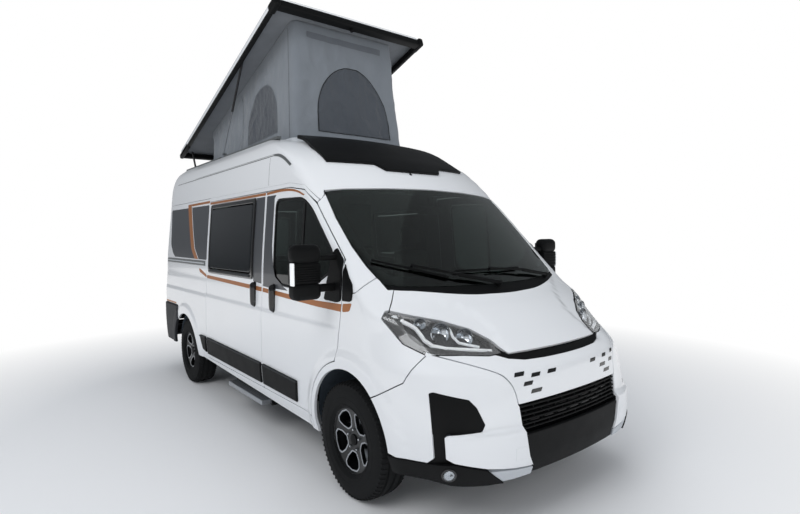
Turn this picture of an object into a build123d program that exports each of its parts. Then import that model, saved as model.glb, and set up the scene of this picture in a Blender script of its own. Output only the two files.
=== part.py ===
from build123d import *
import math
import os

# Camper van on a 3450 mm wheelbase, high fixed roof with a pop-up roof over it.
# Millimetres. +X is forward, +Y is the van's left, +Z is up. The origin is on the
# ground under the middle of the body. The pop roof is drawn raised.

# ---------------------------------------------------------------- driving sizes
# body
REAR_X = -2690          # rear face of the body at the floor
HALF_WIDTH = 1025       # half the width of the body at the waist
SKIN = 45               # thickness of a door, side wall or wing
SILL_Z = 330            # lower edge of the body at the front
WAIST_Z = 1270          # foot of the windscreen
SEAM_Z = 2085           # joint between the body sides and the raised roof
ROOF_Z = 2524           # top of the fixed roof
FLOOR_TOP = 560         # load floor
FLOOR_T = 50            # thickness of the load floor
DOOR_GAP = 6            # gap round each door that moves
FIT = 0.3               # running gap at pins, rods and soft pieces

# running gear
FRONT_AXLE_X = 1741
WHEELBASE = 3450
TRACK_FRONT = 1810
TRACK_REAR = 1790
TYRE_R = 372
TYRE_W = 225
RIM_SEAT_R = 203.2      # bead seat of a 16 inch rim
RIM_FLANGE_R = 220
RIM_W = 183             # outside width of the rim
BOLT_COUNT = 5
BOLT_PCD = 130

# pop roof
LID_LENGTH = 3060
LID_HALF_WIDTH = 815
LID_DEPTH = 95
LID_SHEET = 22
LID_ANGLE = 17.5        # lean of the lid when it is open
LID_REAR_OPEN = (-2530, 2712)    # lower rear edge of the raised lid, x and z
LID_SHIFT = 135         # how far the lid moves back as it closes
LID_CLOSED_GAP = 14     # closed lid's underside above the roof rails

# places worked out from them
REAR_AXLE_X = FRONT_AXLE_X - WHEELBASE
AXLE_Z = TYRE_R
FLOOR_Z = FLOOR_TOP - FLOOR_T

# ---------------------------------------------------------------- small helpers


def box(x0, x1, y0, y1, z0, z1):
    """A box between two corners."""
    place = Pos((x0 + x1) / 2, (y0 + y1) / 2, (z0 + z1) / 2)
    return place * Box(abs(x1 - x0), abs(y1 - y0), abs(z1 - z0))


def mirrored(shape):
    """The same piece on the other side of the van."""
    return shape.mirror(Plane.XZ)


def flat(points, grow=0):
    """A closed outline as a flat face, moved outwards by grow."""
    face = make_face(Polyline(*points, close=True))
    return offset(face, amount=grow, kind=Kind.INTERSECTION) if grow else face


def side_prism(points, y0, y1, grow=0):
    """An (x, z) outline that runs across the van from y0 to y1."""
    plane = Plane(origin=(0, min(y0, y1), 0), x_dir=(1, 0, 0), z_dir=(0, -1, 0))
    return extrude(plane * flat(points, grow), amount=abs(y1 - y0), dir=(0, 1, 0))


def front_prism(points, x0, x1, grow=0):
    """A (y, z) outline that runs along the van from x0 to x1."""
    plane = Plane(origin=(x0, 0, 0), x_dir=(0, 1, 0), z_dir=(1, 0, 0))
    return extrude(plane * flat(points, grow), amount=x1 - x0, dir=(1, 0, 0))


def plan_prism(points, z0, z1, grow=0):
    """An (x, y) outline that stands from z0 to z1."""
    return Pos(0, 0, z0) * extrude(flat(points, grow), amount=z1 - z0, dir=(0, 0, 1))


def rod_y(x, z, y0, y1, radius):
    """A round bar along Y."""
    turn = Pos(x, (y0 + y1) / 2, z) * Rot(90, 0, 0)
    return turn * Cylinder(radius, abs(y1 - y0))


def rod_z(x, y, z0, z1, radius):
    """An upright round bar."""
    return Pos(x, y, (z0 + z1) / 2) * Cylinder(radius, z1 - z0)


def rod_between(start, end, radius):
    """A round bar between two points."""
    line = Vector(*end) - Vector(*start)
    middle = (Vector(*start) + Vector(*end)) * 0.5
    return Plane(origin=middle, z_dir=line) * Cylinder(radius, line.length)


def flat_bar(start, end, width, y0, y1):
    """A flat bar with round ends between two (x, z) points."""
    length = math.dist(start, end)
    lean = math.degrees(math.atan2(end[1] - start[1], end[0] - start[0]))
    bar = box(0, length, y0, y1, -width / 2, width / 2)
    bar += rod_y(0, 0, y0, y1, width / 2) + rod_y(length, 0, y0, y1, width / 2)
    return Pos(start[0], 0, start[1]) * Rot(0, -lean, 0) * bar


def solids_of(shape):
    """The solids of a shape, without crumbs left by a cut."""
    return [piece for piece in shape.solids() if piece.volume > 50]


def write(name, *shapes):
    """One STEP file for one sub-part."""
    pieces = []
    for shape in shapes:
        pieces += solids_of(shape)
    part = pieces[0] if len(pieces) == 1 else Compound(children=pieces)
    export_step(part, f"parts/{name}.step")


# ---------------------------------------------------------------- body envelope
# height, nose x, nose arc radius, half width, corner arc radius, rear x
HULL = [
    (SILL_Z, 2702, 4000, HALF_WIDTH - 40, 560, REAR_X),
    (430, 2722, 4200, HALF_WIDTH - 17, 580, REAR_X),
    (580, 2724, 4200, HALF_WIDTH - 5, 600, REAR_X),
    (730, 2712, 3800, HALF_WIDTH, 620, REAR_X),
    (890, 2690, 3000, HALF_WIDTH, 660, REAR_X),
    (990, 2592, 2600, HALF_WIDTH, 640, REAR_X),
    (1100, 2452, 2300, HALF_WIDTH - 3, 500, REAR_X + 4),
    (1200, 2315, 2300, HALF_WIDTH - 7, 230, REAR_X + 7),
    (WAIST_Z, 2205, 2200, HALF_WIDTH - 12, 120, REAR_X + 10),
    (1400, 2061, 2200, HALF_WIDTH - 17, 110, REAR_X + 15),
    (2020, 1400, 2300, HALF_WIDTH - 67, 110, REAR_X + 60),
    (2250, 1130, 2200, HALF_WIDTH - 85, 130, REAR_X + 83),
    (2350, 960, 2100, HALF_WIDTH - 103, 150, REAR_X + 103),
    (2450, 720, 2000, HALF_WIDTH - 145, 170, REAR_X + 135),
    (ROOF_Z, 430, 2000, HALF_WIDTH - 225, 170, REAR_X + 200),
]
REAR_CORNER_R = 170


def hull_row(z):
    """The envelope's sizes at one height, between the rows of the table."""
    for low, high in zip(HULL, HULL[1:]):
        if low[0] <= z <= high[0]:
            share = (z - low[0]) / (high[0] - low[0])
            return [a + (b - a) * share for a, b in zip(low[1:], high[1:])]
    raise ValueError("height outside the body")


def plan_section(z, row, inset):
    """Plan of the body at one height: tangent arcs at the nose and corners."""
    nose_x, nose_r, half, corner_r, rear_x = row
    nose_x -= inset
    nose_r -= inset
    half -= inset
    corner_r -= inset
    rear_x += inset
    rear_r = REAR_CORNER_R - inset
    nose_cx = nose_x - nose_r
    corner_y = half - corner_r
    reach = math.sqrt((nose_r - corner_r) ** 2 - corner_y ** 2)
    corner_x = nose_cx + reach
    turn = math.atan2(corner_y, reach)
    middle = (turn + math.pi / 2) / 2
    meet = (nose_cx + nose_r * math.cos(turn), nose_r * math.sin(turn))
    bulge = (corner_x + corner_r * math.cos(middle), corner_y + corner_r * math.sin(middle))
    side_front = (corner_x, half)
    side_rear = (rear_x + rear_r, half)
    quarter = rear_r * (1 - math.sqrt(0.5))
    rear_bulge = (rear_x + quarter, half - quarter)
    rear_end = (rear_x, half - rear_r)

    def at(point, side=1):
        return (point[0], point[1] * side, z)

    edges = [
        ThreePointArc(at(meet, -1), (nose_x, 0, z), at(meet)),
        ThreePointArc(at(meet), at(bulge), at(side_front)),
        Line(at(side_front), at(side_rear)),
        ThreePointArc(at(side_rear), at(rear_bulge), at(rear_end)),
        Line(at(rear_end), at(rear_end, -1)),
        ThreePointArc(at(rear_end, -1), at(rear_bulge, -1), at(side_rear, -1)),
        Line(at(side_rear, -1), at(side_front, -1)),
        ThreePointArc(at(side_front, -1), at(bulge, -1), at(meet, -1)),
    ]
    return make_face(Wire(edges))


def hull(inset, top=ROOF_Z):
    """The closed envelope, smaller all round by the inset, up to a height."""
    rows = [(row[0], row[1:]) for row in HULL if row[0] < top - 1]
    rows.append((top, hull_row(top)))
    return loft([plan_section(z, row, inset) for z, row in rows], ruled=True)


def arch(centre_x, centre_z, radius, z0, y0, y1):
    """A wheel-arch volume: half a cylinder with straight legs down to z0."""
    legs = box(centre_x - radius, centre_x + radius, y0, y1, z0, centre_z)
    return legs + rod_y(centre_x, centre_z, y0, y1, radius)


outer = hull(0)
inner = hull(SKIN, ROOF_Z - SKIN)

# lower edge of the body rises from the front wheel to the tail
sill_front = (1375, SILL_Z - 12)
sill_rear = (REAR_X - 60, SILL_Z + 115)
below_sill = side_prism(
    [sill_front, (1375, 200), (sill_rear[0], 200), sill_rear],
    -HALF_WIDTH - 50, HALF_WIDTH + 50,
)

# wheel arches: opening in the skin, and the liner inside it
LIP_FRONT = (1761, 420, 414)        # centre x, centre z, radius
LIP_REAR = (REAR_AXLE_X - 6, 360, 440)
LINER_FRONT = (FRONT_AXLE_X + 4, 420, 452)
LINER_REAR = (REAR_AXLE_X - 6, 360, 430)
LINER_T = 8
LINER_FRONT_Y = 560
LINER_REAR_Y = 700
LINER_FOOT_Z = 430
arch_lips = [
    arch(*lip, 200, side * (HALF_WIDTH + 60), side * (HALF_WIDTH - 275))
    for lip in (LIP_FRONT, LIP_REAR) for side in (1, -1)
]
liner_spaces = []
for (cx, cz, radius), y_in in ((LINER_FRONT, LINER_FRONT_Y), (LINER_REAR, LINER_REAR_Y)):
    for side in (1, -1):
        space = arch(cx, cz, radius + LINER_T, 200, side * y_in, side * (HALF_WIDTH + 60))
        liner_spaces.append(space)

shell = outer - inner - below_sill
for lip in arch_lips:
    shell -= lip

# ---------------------------------------------------------------- panel outlines
# cab door, seen from the side (x, z)
DOOR_REAR_X = 463
DOOR_FOOT_Z = 425
DOOR_HEAD_Z = SEAM_Z - 37
CAB_DOOR = [
    (DOOR_REAR_X, DOOR_FOOT_Z), (DOOR_REAR_X, DOOR_HEAD_Z), (880, 2050), (1120, 2015),
    (1290, 1910), (1690, 1524), (1700, 1400), (1690, 1208), (1640, 872), (1430, 783),
    (1300, 560), (1300, DOOR_FOOT_Z),
]
CAB_DOOR_WINDOW = [
    (655, 1300), (640, 1990), (1105, 1965), (1250, 1880), (1585, 1560), (1520, 1440),
    (1250, 1330),
]
SLIDE_REAR_X = -965
SLIDE_FRONT_X = DOOR_REAR_X - 16
SLIDE_DOOR = [
    (SLIDE_REAR_X, DOOR_FOOT_Z), (SLIDE_REAR_X, DOOR_HEAD_Z),
    (SLIDE_FRONT_X, DOOR_HEAD_Z), (SLIDE_FRONT_X, DOOR_FOOT_Z),
]
SLIDE_WINDOW = [(-905, 1318), (-905, 2010), (255, 2010), (255, 1318)]
LEFT_WINDOW = [(-700, 1420), (-700, 1960), (250, 1960), (250, 1420)]
REAR_DOOR_HALF = 860
REAR_DOOR_Z = (FLOOR_Z + 95, 2050)
REAR_WINDOW = [(190, 1400), (190, 1960), (760, 1960), (760, 1400)]

# half plan outline of the bonnet and of a headlamp (x, y)
BONNET_HALF = [
    (2640, 0), (2640, 462), (2459, 473), (2366, 543), (2256, 680), (2155, 825),
    (2068, 917), (2016, 855), (1971, 804), (2050, 620), (2160, 318), (2210, 0),
]
BONNET_FRONT_Z = 985
BONNET_T = 20
HEADLAMP = [
    (2546, 470), (2461, 479), (2370, 548), (2261, 685), (2160, 830), (2060, 940),
    (2070, 975), (2201, 925), (2328, 861), (2461, 695), (2530, 560),
]
# half outline of the windscreen and of the scuttle below it, seen from the front (y, z)
GLASS_HALF = [
    (0, 1338), (420, 1343), (720, 1355), (848, 1370), (875, 1481), (892, 1609), (862, 2000),
    (720, 2016), (0, 2034),
]
SCUTTLE_HALF = [
    (0, 1235), (400, 1262), (640, 1290), (800, 1325), (840, 1341), (848, 1370), (720, 1355),
    (420, 1343), (0, 1338),
]
BUMPER = [
    (2080, 200), (2080, 745), (2100, 761), (2265, 856), (2330, 1022), (2480, 1030),
    (2800, 1030), (2800, 200),
]
GRILLE_HALF = 450
GRILLE_Z = (345, 722)


def whole(half):
    """A half outline and its mirror image as one outline."""
    inside = [point for point in half if point[1] != 0]
    first, last = half[0], half[-1]
    return [first] + inside + [last] + [(x, -y) for x, y in reversed(inside)]


def whole_front(half):
    """The same for an outline of (y, z) points."""
    inside = [point for point in half if point[0] != 0]
    on_line = [point for point in half if point[0] == 0]
    return [on_line[0]] + inside + [on_line[-1]] + [(-y, z) for y, z in reversed(inside)]


SIDE_OUT = HALF_WIDTH + 50          # beyond the side of the body
SIDE_IN = HALF_WIDTH - 230          # inside the side walls at every height
BONNET = whole(BONNET_HALF)
WINDSCREEN = whole_front(GLASS_HALF)
SCUTTLE = whole_front(SCUTTLE_HALF)

# ---------------------------------------------------------------- hinge places
# cab door: upright axis at the front edge, in the skin
CAB_HINGE = (1700, HALF_WIDTH - 11)
CAB_HINGE_Z = (930, 1160)
CAB_HINGE_R = 9
CAB_HINGE_H = 60
# rear door: upright axis proud of the rear corner
REAR_HINGE = (REAR_X - 18, REAR_DOOR_HALF + 3)
REAR_HINGE_Z = (960, 1420, 1880)
REAR_HINGE_R = 10
REAR_HINGE_H = 50
REAR_FOOT_X = REAR_X + 100
# bonnet: cross axis just behind its rear corners, and where its arms meet it
BONNET_HINGE = (1945, 1345)
BONNET_ARM_END = (1996, 1311)
BONNET_HINGE_Y = 800
BONNET_HINGE_R = 8
BONNET_HINGE_W = 30
BONNET_SWING_H = 120

# ---------------------------------------------------------------- panels
door_cut_left = side_prism(CAB_DOOR, SIDE_IN, SIDE_OUT, DOOR_GAP)
door_cut_right = side_prism(CAB_DOOR, -SIDE_IN, -SIDE_OUT, DOOR_GAP)
slide_cut = side_prism(SLIDE_DOOR, -SIDE_IN, -SIDE_OUT)
left_window_cut = side_prism(LEFT_WINDOW, SIDE_IN, SIDE_OUT)
rear_door_box = [
    (-REAR_DOOR_HALF, REAR_DOOR_Z[0]), (-REAR_DOOR_HALF, REAR_DOOR_Z[1]),
    (REAR_DOOR_HALF, REAR_DOOR_Z[1]), (REAR_DOOR_HALF, REAR_DOOR_Z[0]),
]
REAR_ZONE = (REAR_X - 80, REAR_X + 170)
rear_cut = front_prism(rear_door_box, *REAR_ZONE, DOOR_GAP)
bonnet_zone = plan_prism(BONNET, BONNET_FRONT_Z, 1450)
bonnet_cut = plan_prism(BONNET, BONNET_FRONT_Z - DOOR_GAP, 1450, DOOR_GAP)
lamp_left = plan_prism(HEADLAMP, 900, 1330)
lamp_right = plan_prism([(x, -y) for x, y in HEADLAMP], 900, 1330)
glass_zone = front_prism(WINDSCREEN, 1100, 2300)
scuttle_zone = front_prism(SCUTTLE, 1500, 2300)
bumper_zone = side_prism(BUMPER, -SIDE_OUT, SIDE_OUT)
ROOF_ZONE = [
    (-3000, ROOF_Z + 50), (-3000, REAR_DOOR_Z[1] + DOOR_GAP),
    (REAR_X + 180, REAR_DOOR_Z[1] + DOOR_GAP), (REAR_X + 180, SEAM_Z), (406, SEAM_Z),
    (862, SEAM_Z - 17), (1115, SEAM_Z - 52), (1300, 1935), (1440, 2010), (1500, ROOF_Z + 50),
]
roof_zone = side_prism(ROOF_ZONE, -SIDE_OUT, SIDE_OUT)

# rear bumper: a band round the tail that rises at the corners
BUMPER_OUT = 29
REAR_BUMPER = [(-2250, 380), (-2250, 480), (-2460, 862), (-2900, 862), (-2900, 380)]
rear_bumper_zone = side_prism(REAR_BUMPER, -SIDE_OUT - 40, SIDE_OUT + 40)
low_middle = box(-2900, -2400, -REAR_DOOR_HALF - DOOR_GAP, REAR_DOOR_HALF + DOOR_GAP,
                 REAR_DOOR_Z[0] - DOOR_GAP, 900)
rear_bumper_zone -= low_middle
band = plan_section(0, [2700, 2600, HALF_WIDTH + 13, 360, REAR_X - BUMPER_OUT], 0)
band_in = plan_section(0, [2700, 2600, HALF_WIDTH + 13, 360, REAR_X - BUMPER_OUT], SKIN)
band_solid = extrude(band, amount=600, dir=(0, 0, 1)) - extrude(band_in, amount=600, dir=(0, 0, 1))
rear_bumper = (Pos(0, 0, 380) * band_solid) & rear_bumper_zone

# the body's fixed structure: side walls with their pillars, cross frames, roof
front_zone = side_prism(
    [
        (1250, 200), (1250, 600), (1380, 830), (1600, 910), (1640, 1220), (1660, 1400),
        (1665, 1503), (2900, 1503), (2900, 200),
    ],
    -SIDE_OUT, SIDE_OUT,
)
body = shell - roof_zone - door_cut_left - door_cut_right - slide_cut - rear_cut
body -= rear_bumper_zone
body -= left_window_cut
nose = body & front_zone
body -= front_zone
body = body - glass_zone - scuttle_zone
side_left = body & box(-3000, 2500, 500, SIDE_OUT, 200, SEAM_Z)
side_right = body & box(-3000, 2500, -SIDE_OUT, -500, 200, SEAM_Z)

bonnet = ((outer - hull(BONNET_T)) & bonnet_zone) & front_zone
nose = nose - bonnet_cut - lamp_left - lamp_right - scuttle_zone - glass_zone
scuttle = (shell & scuttle_zone) - bonnet_cut
headlamps = [shell & lamp_left, shell & lamp_right]
headlamps = [lamp - bonnet_cut for lamp in headlamps]
front_bumper = nose & bumper_zone
front_wings = nose - bumper_zone

# grille: a grid of bars over a plain lower plate, in the middle of the bumper
BAR_PITCH = 31
BAR_H = 12
POST_PITCH = 112
GRID_Z = (588, GRILLE_Z[1])
grille_box = box(2400, 2800, -GRILLE_HALF, GRILLE_HALF, *GRILLE_Z)
front_bumper -= grille_box
grille_solid = (hull(5, 890) - hull(SKIN, 890)) & grille_box
grille_cut = box(2400, 2800, -GRILLE_HALF + 14, GRILLE_HALF - 14, GRID_Z[0], GRID_Z[1] - 12)
bars = []
for row in range(1, int((GRID_Z[1] - GRID_Z[0]) / BAR_PITCH)):
    bar_z = GRID_Z[0] + row * BAR_PITCH
    bars.append(box(2400, 2800, -GRILLE_HALF, GRILLE_HALF, bar_z - BAR_H / 2, bar_z + BAR_H / 2))
for column in range(-3, 4):
    post_y = column * POST_PITCH
    bars.append(box(2400, 2800, post_y - 5, post_y + 5, *GRID_Z))
for bar in bars:
    grille_cut -= bar
grille = grille_solid - grille_cut

# roof: shell above the seam, with the hatch under the tent
HATCH = (-1880, 160, 560)           # rear x, front x, half width
roof = (shell & roof_zone) - glass_zone
roof -= box(HATCH[0], HATCH[1], -HATCH[2], HATCH[2], 2300, ROOF_Z + 20)

# black fairing over the front slope of the roof
FAIRING_T = 26
fairing_half = [(0, 2188), (280, 2192), (330, 2245), (715, 2262), (800, 2330), (800, 2700), (0, 2700)]
fairing_zone = front_prism(whole_front(fairing_half), 462, 1400)
roof_fairing = (Pos(0, 0, FAIRING_T) * hull(-FAIRING_T) - outer) & fairing_zone

# ---------------------------------------------------------------- doors and glass
GLASS_IN = 10
GLASS_T = 6
glass_skin = hull(GLASS_IN) - hull(GLASS_IN + GLASS_T)
WINDOW_PROUD = 12
acrylic_skin = hull(-WINDOW_PROUD) - hull(GLASS_IN)


def cab_door(side):
    """A cab door with its window opening and the two hinge knuckles."""
    door = shell & side_prism(CAB_DOOR, side * SIDE_IN, side * SIDE_OUT)
    door -= side_prism(CAB_DOOR_WINDOW, side * SIDE_IN, side * SIDE_OUT)
    for z in CAB_HINGE_Z:
        door += cab_knuckle(side, z, CAB_HINGE_R, CAB_HINGE_H)
    return door


def cab_knuckle(side, z, radius, height):
    """A hinge knuckle with the short arm that carries it."""
    x, y = CAB_HINGE
    pin = rod_z(x, side * y, z - height / 2, z + height / 2, radius)
    arm = box(x - 80, x, side * (y - radius), side * y, z - height / 2, z + height / 2)
    return pin + arm


def cab_pocket(side, z):
    """The room a knuckle needs in the wing, open to the outside."""
    x, y = CAB_HINGE
    half = CAB_HINGE_H / 2 + FIT
    mouth = box(x - 60, x + CAB_HINGE_R + FIT, side * y, side * SIDE_OUT, z - half, z + half)
    return cab_knuckle(side, z, CAB_HINGE_R + FIT, 2 * half) + mouth


def cab_glass(side):
    """The pane of a cab door."""
    return glass_skin & side_prism(CAB_DOOR_WINDOW, side * SIDE_IN, side * SIDE_OUT)


MIRROR_BASE = [(1500, 1300), (1690, 1290), (1694, 1470), (1600, 1590), (1500, 1560)]
MIRROR_X = (1545, 1655)
MIRROR_Y = (1100, 1345)
MIRROR_Z = (1303, 1600)
MIRROR_ARM_Z = (1350, 1520)
MIRROR_ARM_T = 46


def mirror(side):
    """A door mirror: base plate on the door, two arms and the head."""
    base = (hull(-22) - outer) & side_prism(MIRROR_BASE, side * SIDE_IN, side * SIDE_OUT)
    head = box(*MIRROR_X, side * MIRROR_Y[0], side * MIRROR_Y[1], *MIRROR_Z)
    head = fillet(head.edges().filter_by(Axis.X), 40)
    for z in MIRROR_ARM_Z:
        low, high = z - MIRROR_ARM_T / 2, z + MIRROR_ARM_T / 2
        arm = box(MIRROR_X[0] + 15, MIRROR_X[1] - 5, side * 950, side * (MIRROR_Y[0] + 30), low, high)
        head += arm - outer
    return base + head


def rear_door(side):
    """A rear door with its window opening and its hinge knuckles."""
    y0, y1 = DOOR_GAP / 2, REAR_DOOR_HALF
    half = [(side * y0, REAR_DOOR_Z[0]), (side * y1, REAR_DOOR_Z[0]),
            (side * y1, REAR_DOOR_Z[1]), (side * y0, REAR_DOOR_Z[1])]
    door = shell & front_prism(half, *REAR_ZONE)
    door -= front_prism([(side * y, z) for y, z in REAR_WINDOW], *REAR_ZONE)
    for z in REAR_HINGE_Z:
        door += rear_knuckle(side, z, -1)
    return door


def rear_knuckle(side, z, hand):
    """One leaf of a rear hinge: the door's inboard (-1), the body's outboard (1)."""
    x, y = REAR_HINGE
    low = z if hand < 0 else z - REAR_HINGE_H - FIT
    pin = rod_z(x, side * y, low, low + REAR_HINGE_H, REAR_HINGE_R)
    reach = y + hand * 42
    leaf = box(x - 6, x + 6, side * y, side * reach, low, low + REAR_HINGE_H)
    foot = box(x - 6, REAR_FOOT_X, side * (y + hand * 18), side * reach, low, low + REAR_HINGE_H)
    return pin + leaf + foot


def rear_glass(side):
    """The pane of a rear door."""
    return glass_skin & front_prism([(side * y, z) for y, z in REAR_WINDOW], *REAR_ZONE)


sliding_door = shell & side_prism(SLIDE_DOOR, -SIDE_IN, -SIDE_OUT)
sliding_door -= side_prism(SLIDE_WINDOW, -SIDE_IN, -SIDE_OUT)
living_windows = [
    acrylic_skin & side_prism(SLIDE_WINDOW, -SIDE_IN, -SIDE_OUT),
    acrylic_skin & side_prism(LEFT_WINDOW, SIDE_IN, SIDE_OUT),
]
windscreen = glass_skin & glass_zone

# hinge pockets and leaves on the body
for side in (1, -1):
    for z in CAB_HINGE_Z:
        front_wings -= cab_pocket(side, z)
for z in REAR_HINGE_Z:
    side_left += rear_knuckle(1, z, 1)
    side_right += rear_knuckle(-1, z, 1)


def bonnet_knuckle(side, radius, width):
    """A cross knuckle behind the bonnet's rear corner, with the arm that carries it."""
    y0, y1 = BONNET_HINGE_Y - width / 2, BONNET_HINGE_Y + width / 2
    return flat_bar(BONNET_HINGE, BONNET_ARM_END, 2 * radius, side * y0, side * y1)


def bonnet_pocket(side):
    """The room the knuckle needs, open upwards so that the arm can swing."""
    x, z = BONNET_HINGE
    reach = BONNET_HINGE_R + FIT
    half = BONNET_HINGE_W / 2 + FIT
    y = side * BONNET_HINGE_Y
    top = z + BONNET_SWING_H
    swing = [(x - reach, z), BONNET_ARM_END, (BONNET_ARM_END[0], top), (x - reach, top)]
    return bonnet_knuckle(side, reach, 2 * half) + side_prism(swing, y - half, y + half)


for side in (1, -1):
    bonnet += bonnet_knuckle(side, BONNET_HINGE_R, BONNET_HINGE_W)
    pocket = bonnet_pocket(side)
    front_wings -= pocket
    scuttle -= pocket
    windscreen -= pocket

# ---------------------------------------------------------------- floor and frame
RAIL_Y = (400, 480)
RAIL_Z = (FLOOR_Z - 80, FLOOR_Z)
FIREWALL_X = 1690
inner_floor = inner & box(REAR_X + 60, FIREWALL_X, -SIDE_OUT, SIDE_OUT, FLOOR_Z, FLOOR_TOP)
floor_pan = inner_floor
for space in liner_spaces:
    floor_pan -= space

# firewall and the cowl shelf above it
FIREWALL_T = 20
COWL_Z = (1180, 1205)
firewall = inner & box(FIREWALL_X, FIREWALL_X + FIREWALL_T, -SIDE_OUT, SIDE_OUT, FLOOR_Z, COWL_Z[0])
firewall += inner & box(FIREWALL_X, 2040, -SIDE_OUT, SIDE_OUT, *COWL_Z)
for space in liner_spaces:
    firewall -= space

# two long rails and their cross members
RAIL_X = (REAR_X + 40, 2540)
CROSS_X = (REAR_X + 90, -700, 300, 1250, 2500)
chassis = [box(*RAIL_X, side * RAIL_Y[0], side * RAIL_Y[1], *RAIL_Z) for side in (1, -1)]
chassis_frame = chassis[0] + chassis[1]
for x in CROSS_X:
    chassis_frame += box(x - 35, x + 35, -RAIL_Y[0], RAIL_Y[0], RAIL_Z[0] + 10, RAIL_Z[1] - 15)

# arch liners
liners = []
for (cx, cz, radius), y_in in ((LINER_FRONT, LINER_FRONT_Y), (LINER_REAR, LINER_REAR_Y)):
    for side in (1, -1):
        liner = arch(cx, cz, radius + LINER_T, LINER_FOOT_Z, side * y_in, side * SIDE_OUT)
        liner -= arch(cx, cz, radius, 100, side * (y_in - 1), side * (SIDE_OUT + 1))
        liners.append(liner & hull(SKIN + FIT))

# ---------------------------------------------------------------- suspension, axles
KING_LOW = (815, 250)       # lower ball joint: distance from the middle, height
KING_HIGH = (680, 850)      # strut top
KING_TOP_Z = 519            # the knuckle ends here and the strut begins
KNUCKLE_R = 26
STRUT_R = 22
STUB_R = 28
HUB_R = 68
DISC_R = 140


def king_point(side, z):
    """A point of the steering axis at one height."""
    share = (z - KING_LOW[1]) / (KING_HIGH[1] - KING_LOW[1])
    y = KING_LOW[0] + (KING_HIGH[0] - KING_LOW[0]) * share
    return (FRONT_AXLE_X, side * y, z)


def strut(side):
    """Suspension strut with its spring seat and top mount, on the steering axis."""
    leg = rod_between(king_point(side, KING_TOP_Z + FIT), king_point(side, KING_HIGH[1] - 30), STRUT_R)
    spring = rod_between(king_point(side, 690), king_point(side, KING_HIGH[1] - 30), 55)
    mount_y = side * KING_HIGH[0]
    mount = box(FRONT_AXLE_X - 60, FRONT_AXLE_X + 60, mount_y - 60, mount_y + 60, KING_HIGH[1] - 40, 900)
    return (leg + spring + mount) - outside_liner


outside_liner = box(1200, 2300, -1100, 1100, 100, 1000)
outside_liner -= arch(*LINER_FRONT[:2], LINER_FRONT[2] - FIT, 100, LINER_FRONT_Y, 1000)
outside_liner -= arch(*LINER_FRONT[:2], LINER_FRONT[2] - FIT, 100, -LINER_FRONT_Y, -1000)


def lower_arm(side):
    """Arm from the subframe out to the lower ball joint."""
    y0, y1 = 420, KING_LOW[0]
    arm = box(FRONT_AXLE_X - 45, FRONT_AXLE_X + 45, side * y0, side * y1, 216, 238)
    ball = rod_z(FRONT_AXLE_X, side * y1, 216, 238, 32)
    return arm + ball


subframe = box(1600, 1960, -450, 450, 216, 290)
for side in (1, -1):
    subframe += lower_arm(side)
    for x in (1640, 1920):
        subframe += box(x - 30, x + 30, side * 405, side * 450, 290, RAIL_Z[0])
struts = [strut(side) for side in (1, -1)]


def knuckle(side):
    """Steering knuckle: upright on the steering axis, stub axle and caliper."""
    upright = rod_between(king_point(side, KING_LOW[1] + 4), king_point(side, KING_TOP_Z), KNUCKLE_R)
    upright -= box(1600, 1900, -1100, 1100, 150, 238 + FIT)
    y_king = king_point(1, AXLE_Z)[1]
    stub = rod_y(FRONT_AXLE_X, AXLE_Z, side * (y_king - 10), side * 950, STUB_R)
    block = box(FRONT_AXLE_X - 50, FRONT_AXLE_X + 50, side * (y_king - 30), side * (y_king + 50),
                AXLE_Z - 60, AXLE_Z + 60)
    caliper = box(FRONT_AXLE_X - 175, FRONT_AXLE_X - 95, side * 845, side * 915, AXLE_Z - 65, AXLE_Z + 65)
    slot = rod_y(FRONT_AXLE_X, AXLE_Z, side * 868, side * 906, DISC_R + 6)
    bracket = box(FRONT_AXLE_X - 150, FRONT_AXLE_X, side * 845, side * 862, AXLE_Z - 40, AXLE_Z + 40)
    return upright + stub + block + (caliper - slot) + bracket


rear_axle = rod_y(REAR_AXLE_X, AXLE_Z, -800, 800, 45)
for side in (1, -1):
    rear_axle += rod_y(REAR_AXLE_X, AXLE_Z, side * 800, side * 940, STUB_R)
    rear_axle += rod_y(REAR_AXLE_X, AXLE_Z, side * 800, side * 822, 75)
SPRING_HALF = 640
SPRING_Z = (AXLE_Z - 45 - 28, AXLE_Z - 45)
springs = []
for side in (1, -1):
    y0, y1 = side * (RAIL_Y[0] + 8), side * (RAIL_Y[1] - 8)
    leaf = box(REAR_AXLE_X - SPRING_HALF, REAR_AXLE_X + SPRING_HALF, y0, y1, *SPRING_Z)
    for x in (REAR_AXLE_X - SPRING_HALF + 30, REAR_AXLE_X + SPRING_HALF - 30):
        leaf += box(x - 28, x + 28, y0, y1, SPRING_Z[0], RAIL_Z[0])
    springs.append(leaf)

# ---------------------------------------------------------------- wheels


def tyre(x, y):
    """A tyre: tread with rounded shoulders and sidewalls down to the beads."""
    half = TYRE_W / 2
    bead = RIM_W / 2 - 11
    crown = 88
    points_right = [
        (bead, RIM_SEAT_R + FIT), (bead, RIM_FLANGE_R + 8), (half, 300), (crown + 12, TYRE_R - 12),
        (crown - 20, TYRE_R),
    ]
    points = points_right + [(-a, r) for a, r in reversed(points_right)]
    edges = []
    for start, end in zip(points, points[1:] + points[:1]):
        edges.append(Line((0, start[0], start[1]), (0, end[0], end[1])))
    profile = make_face(Wire(edges))
    ring = revolve(profile, axis=Axis.Y)
    return Pos(x, y, AXLE_Z) * ring


SPOKE_PAIRS = 5
SPOKE_W = 34
SPOKE_SPREAD = 15           # half angle between the two spokes of a pair at the rim
DISH_T = 26


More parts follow.
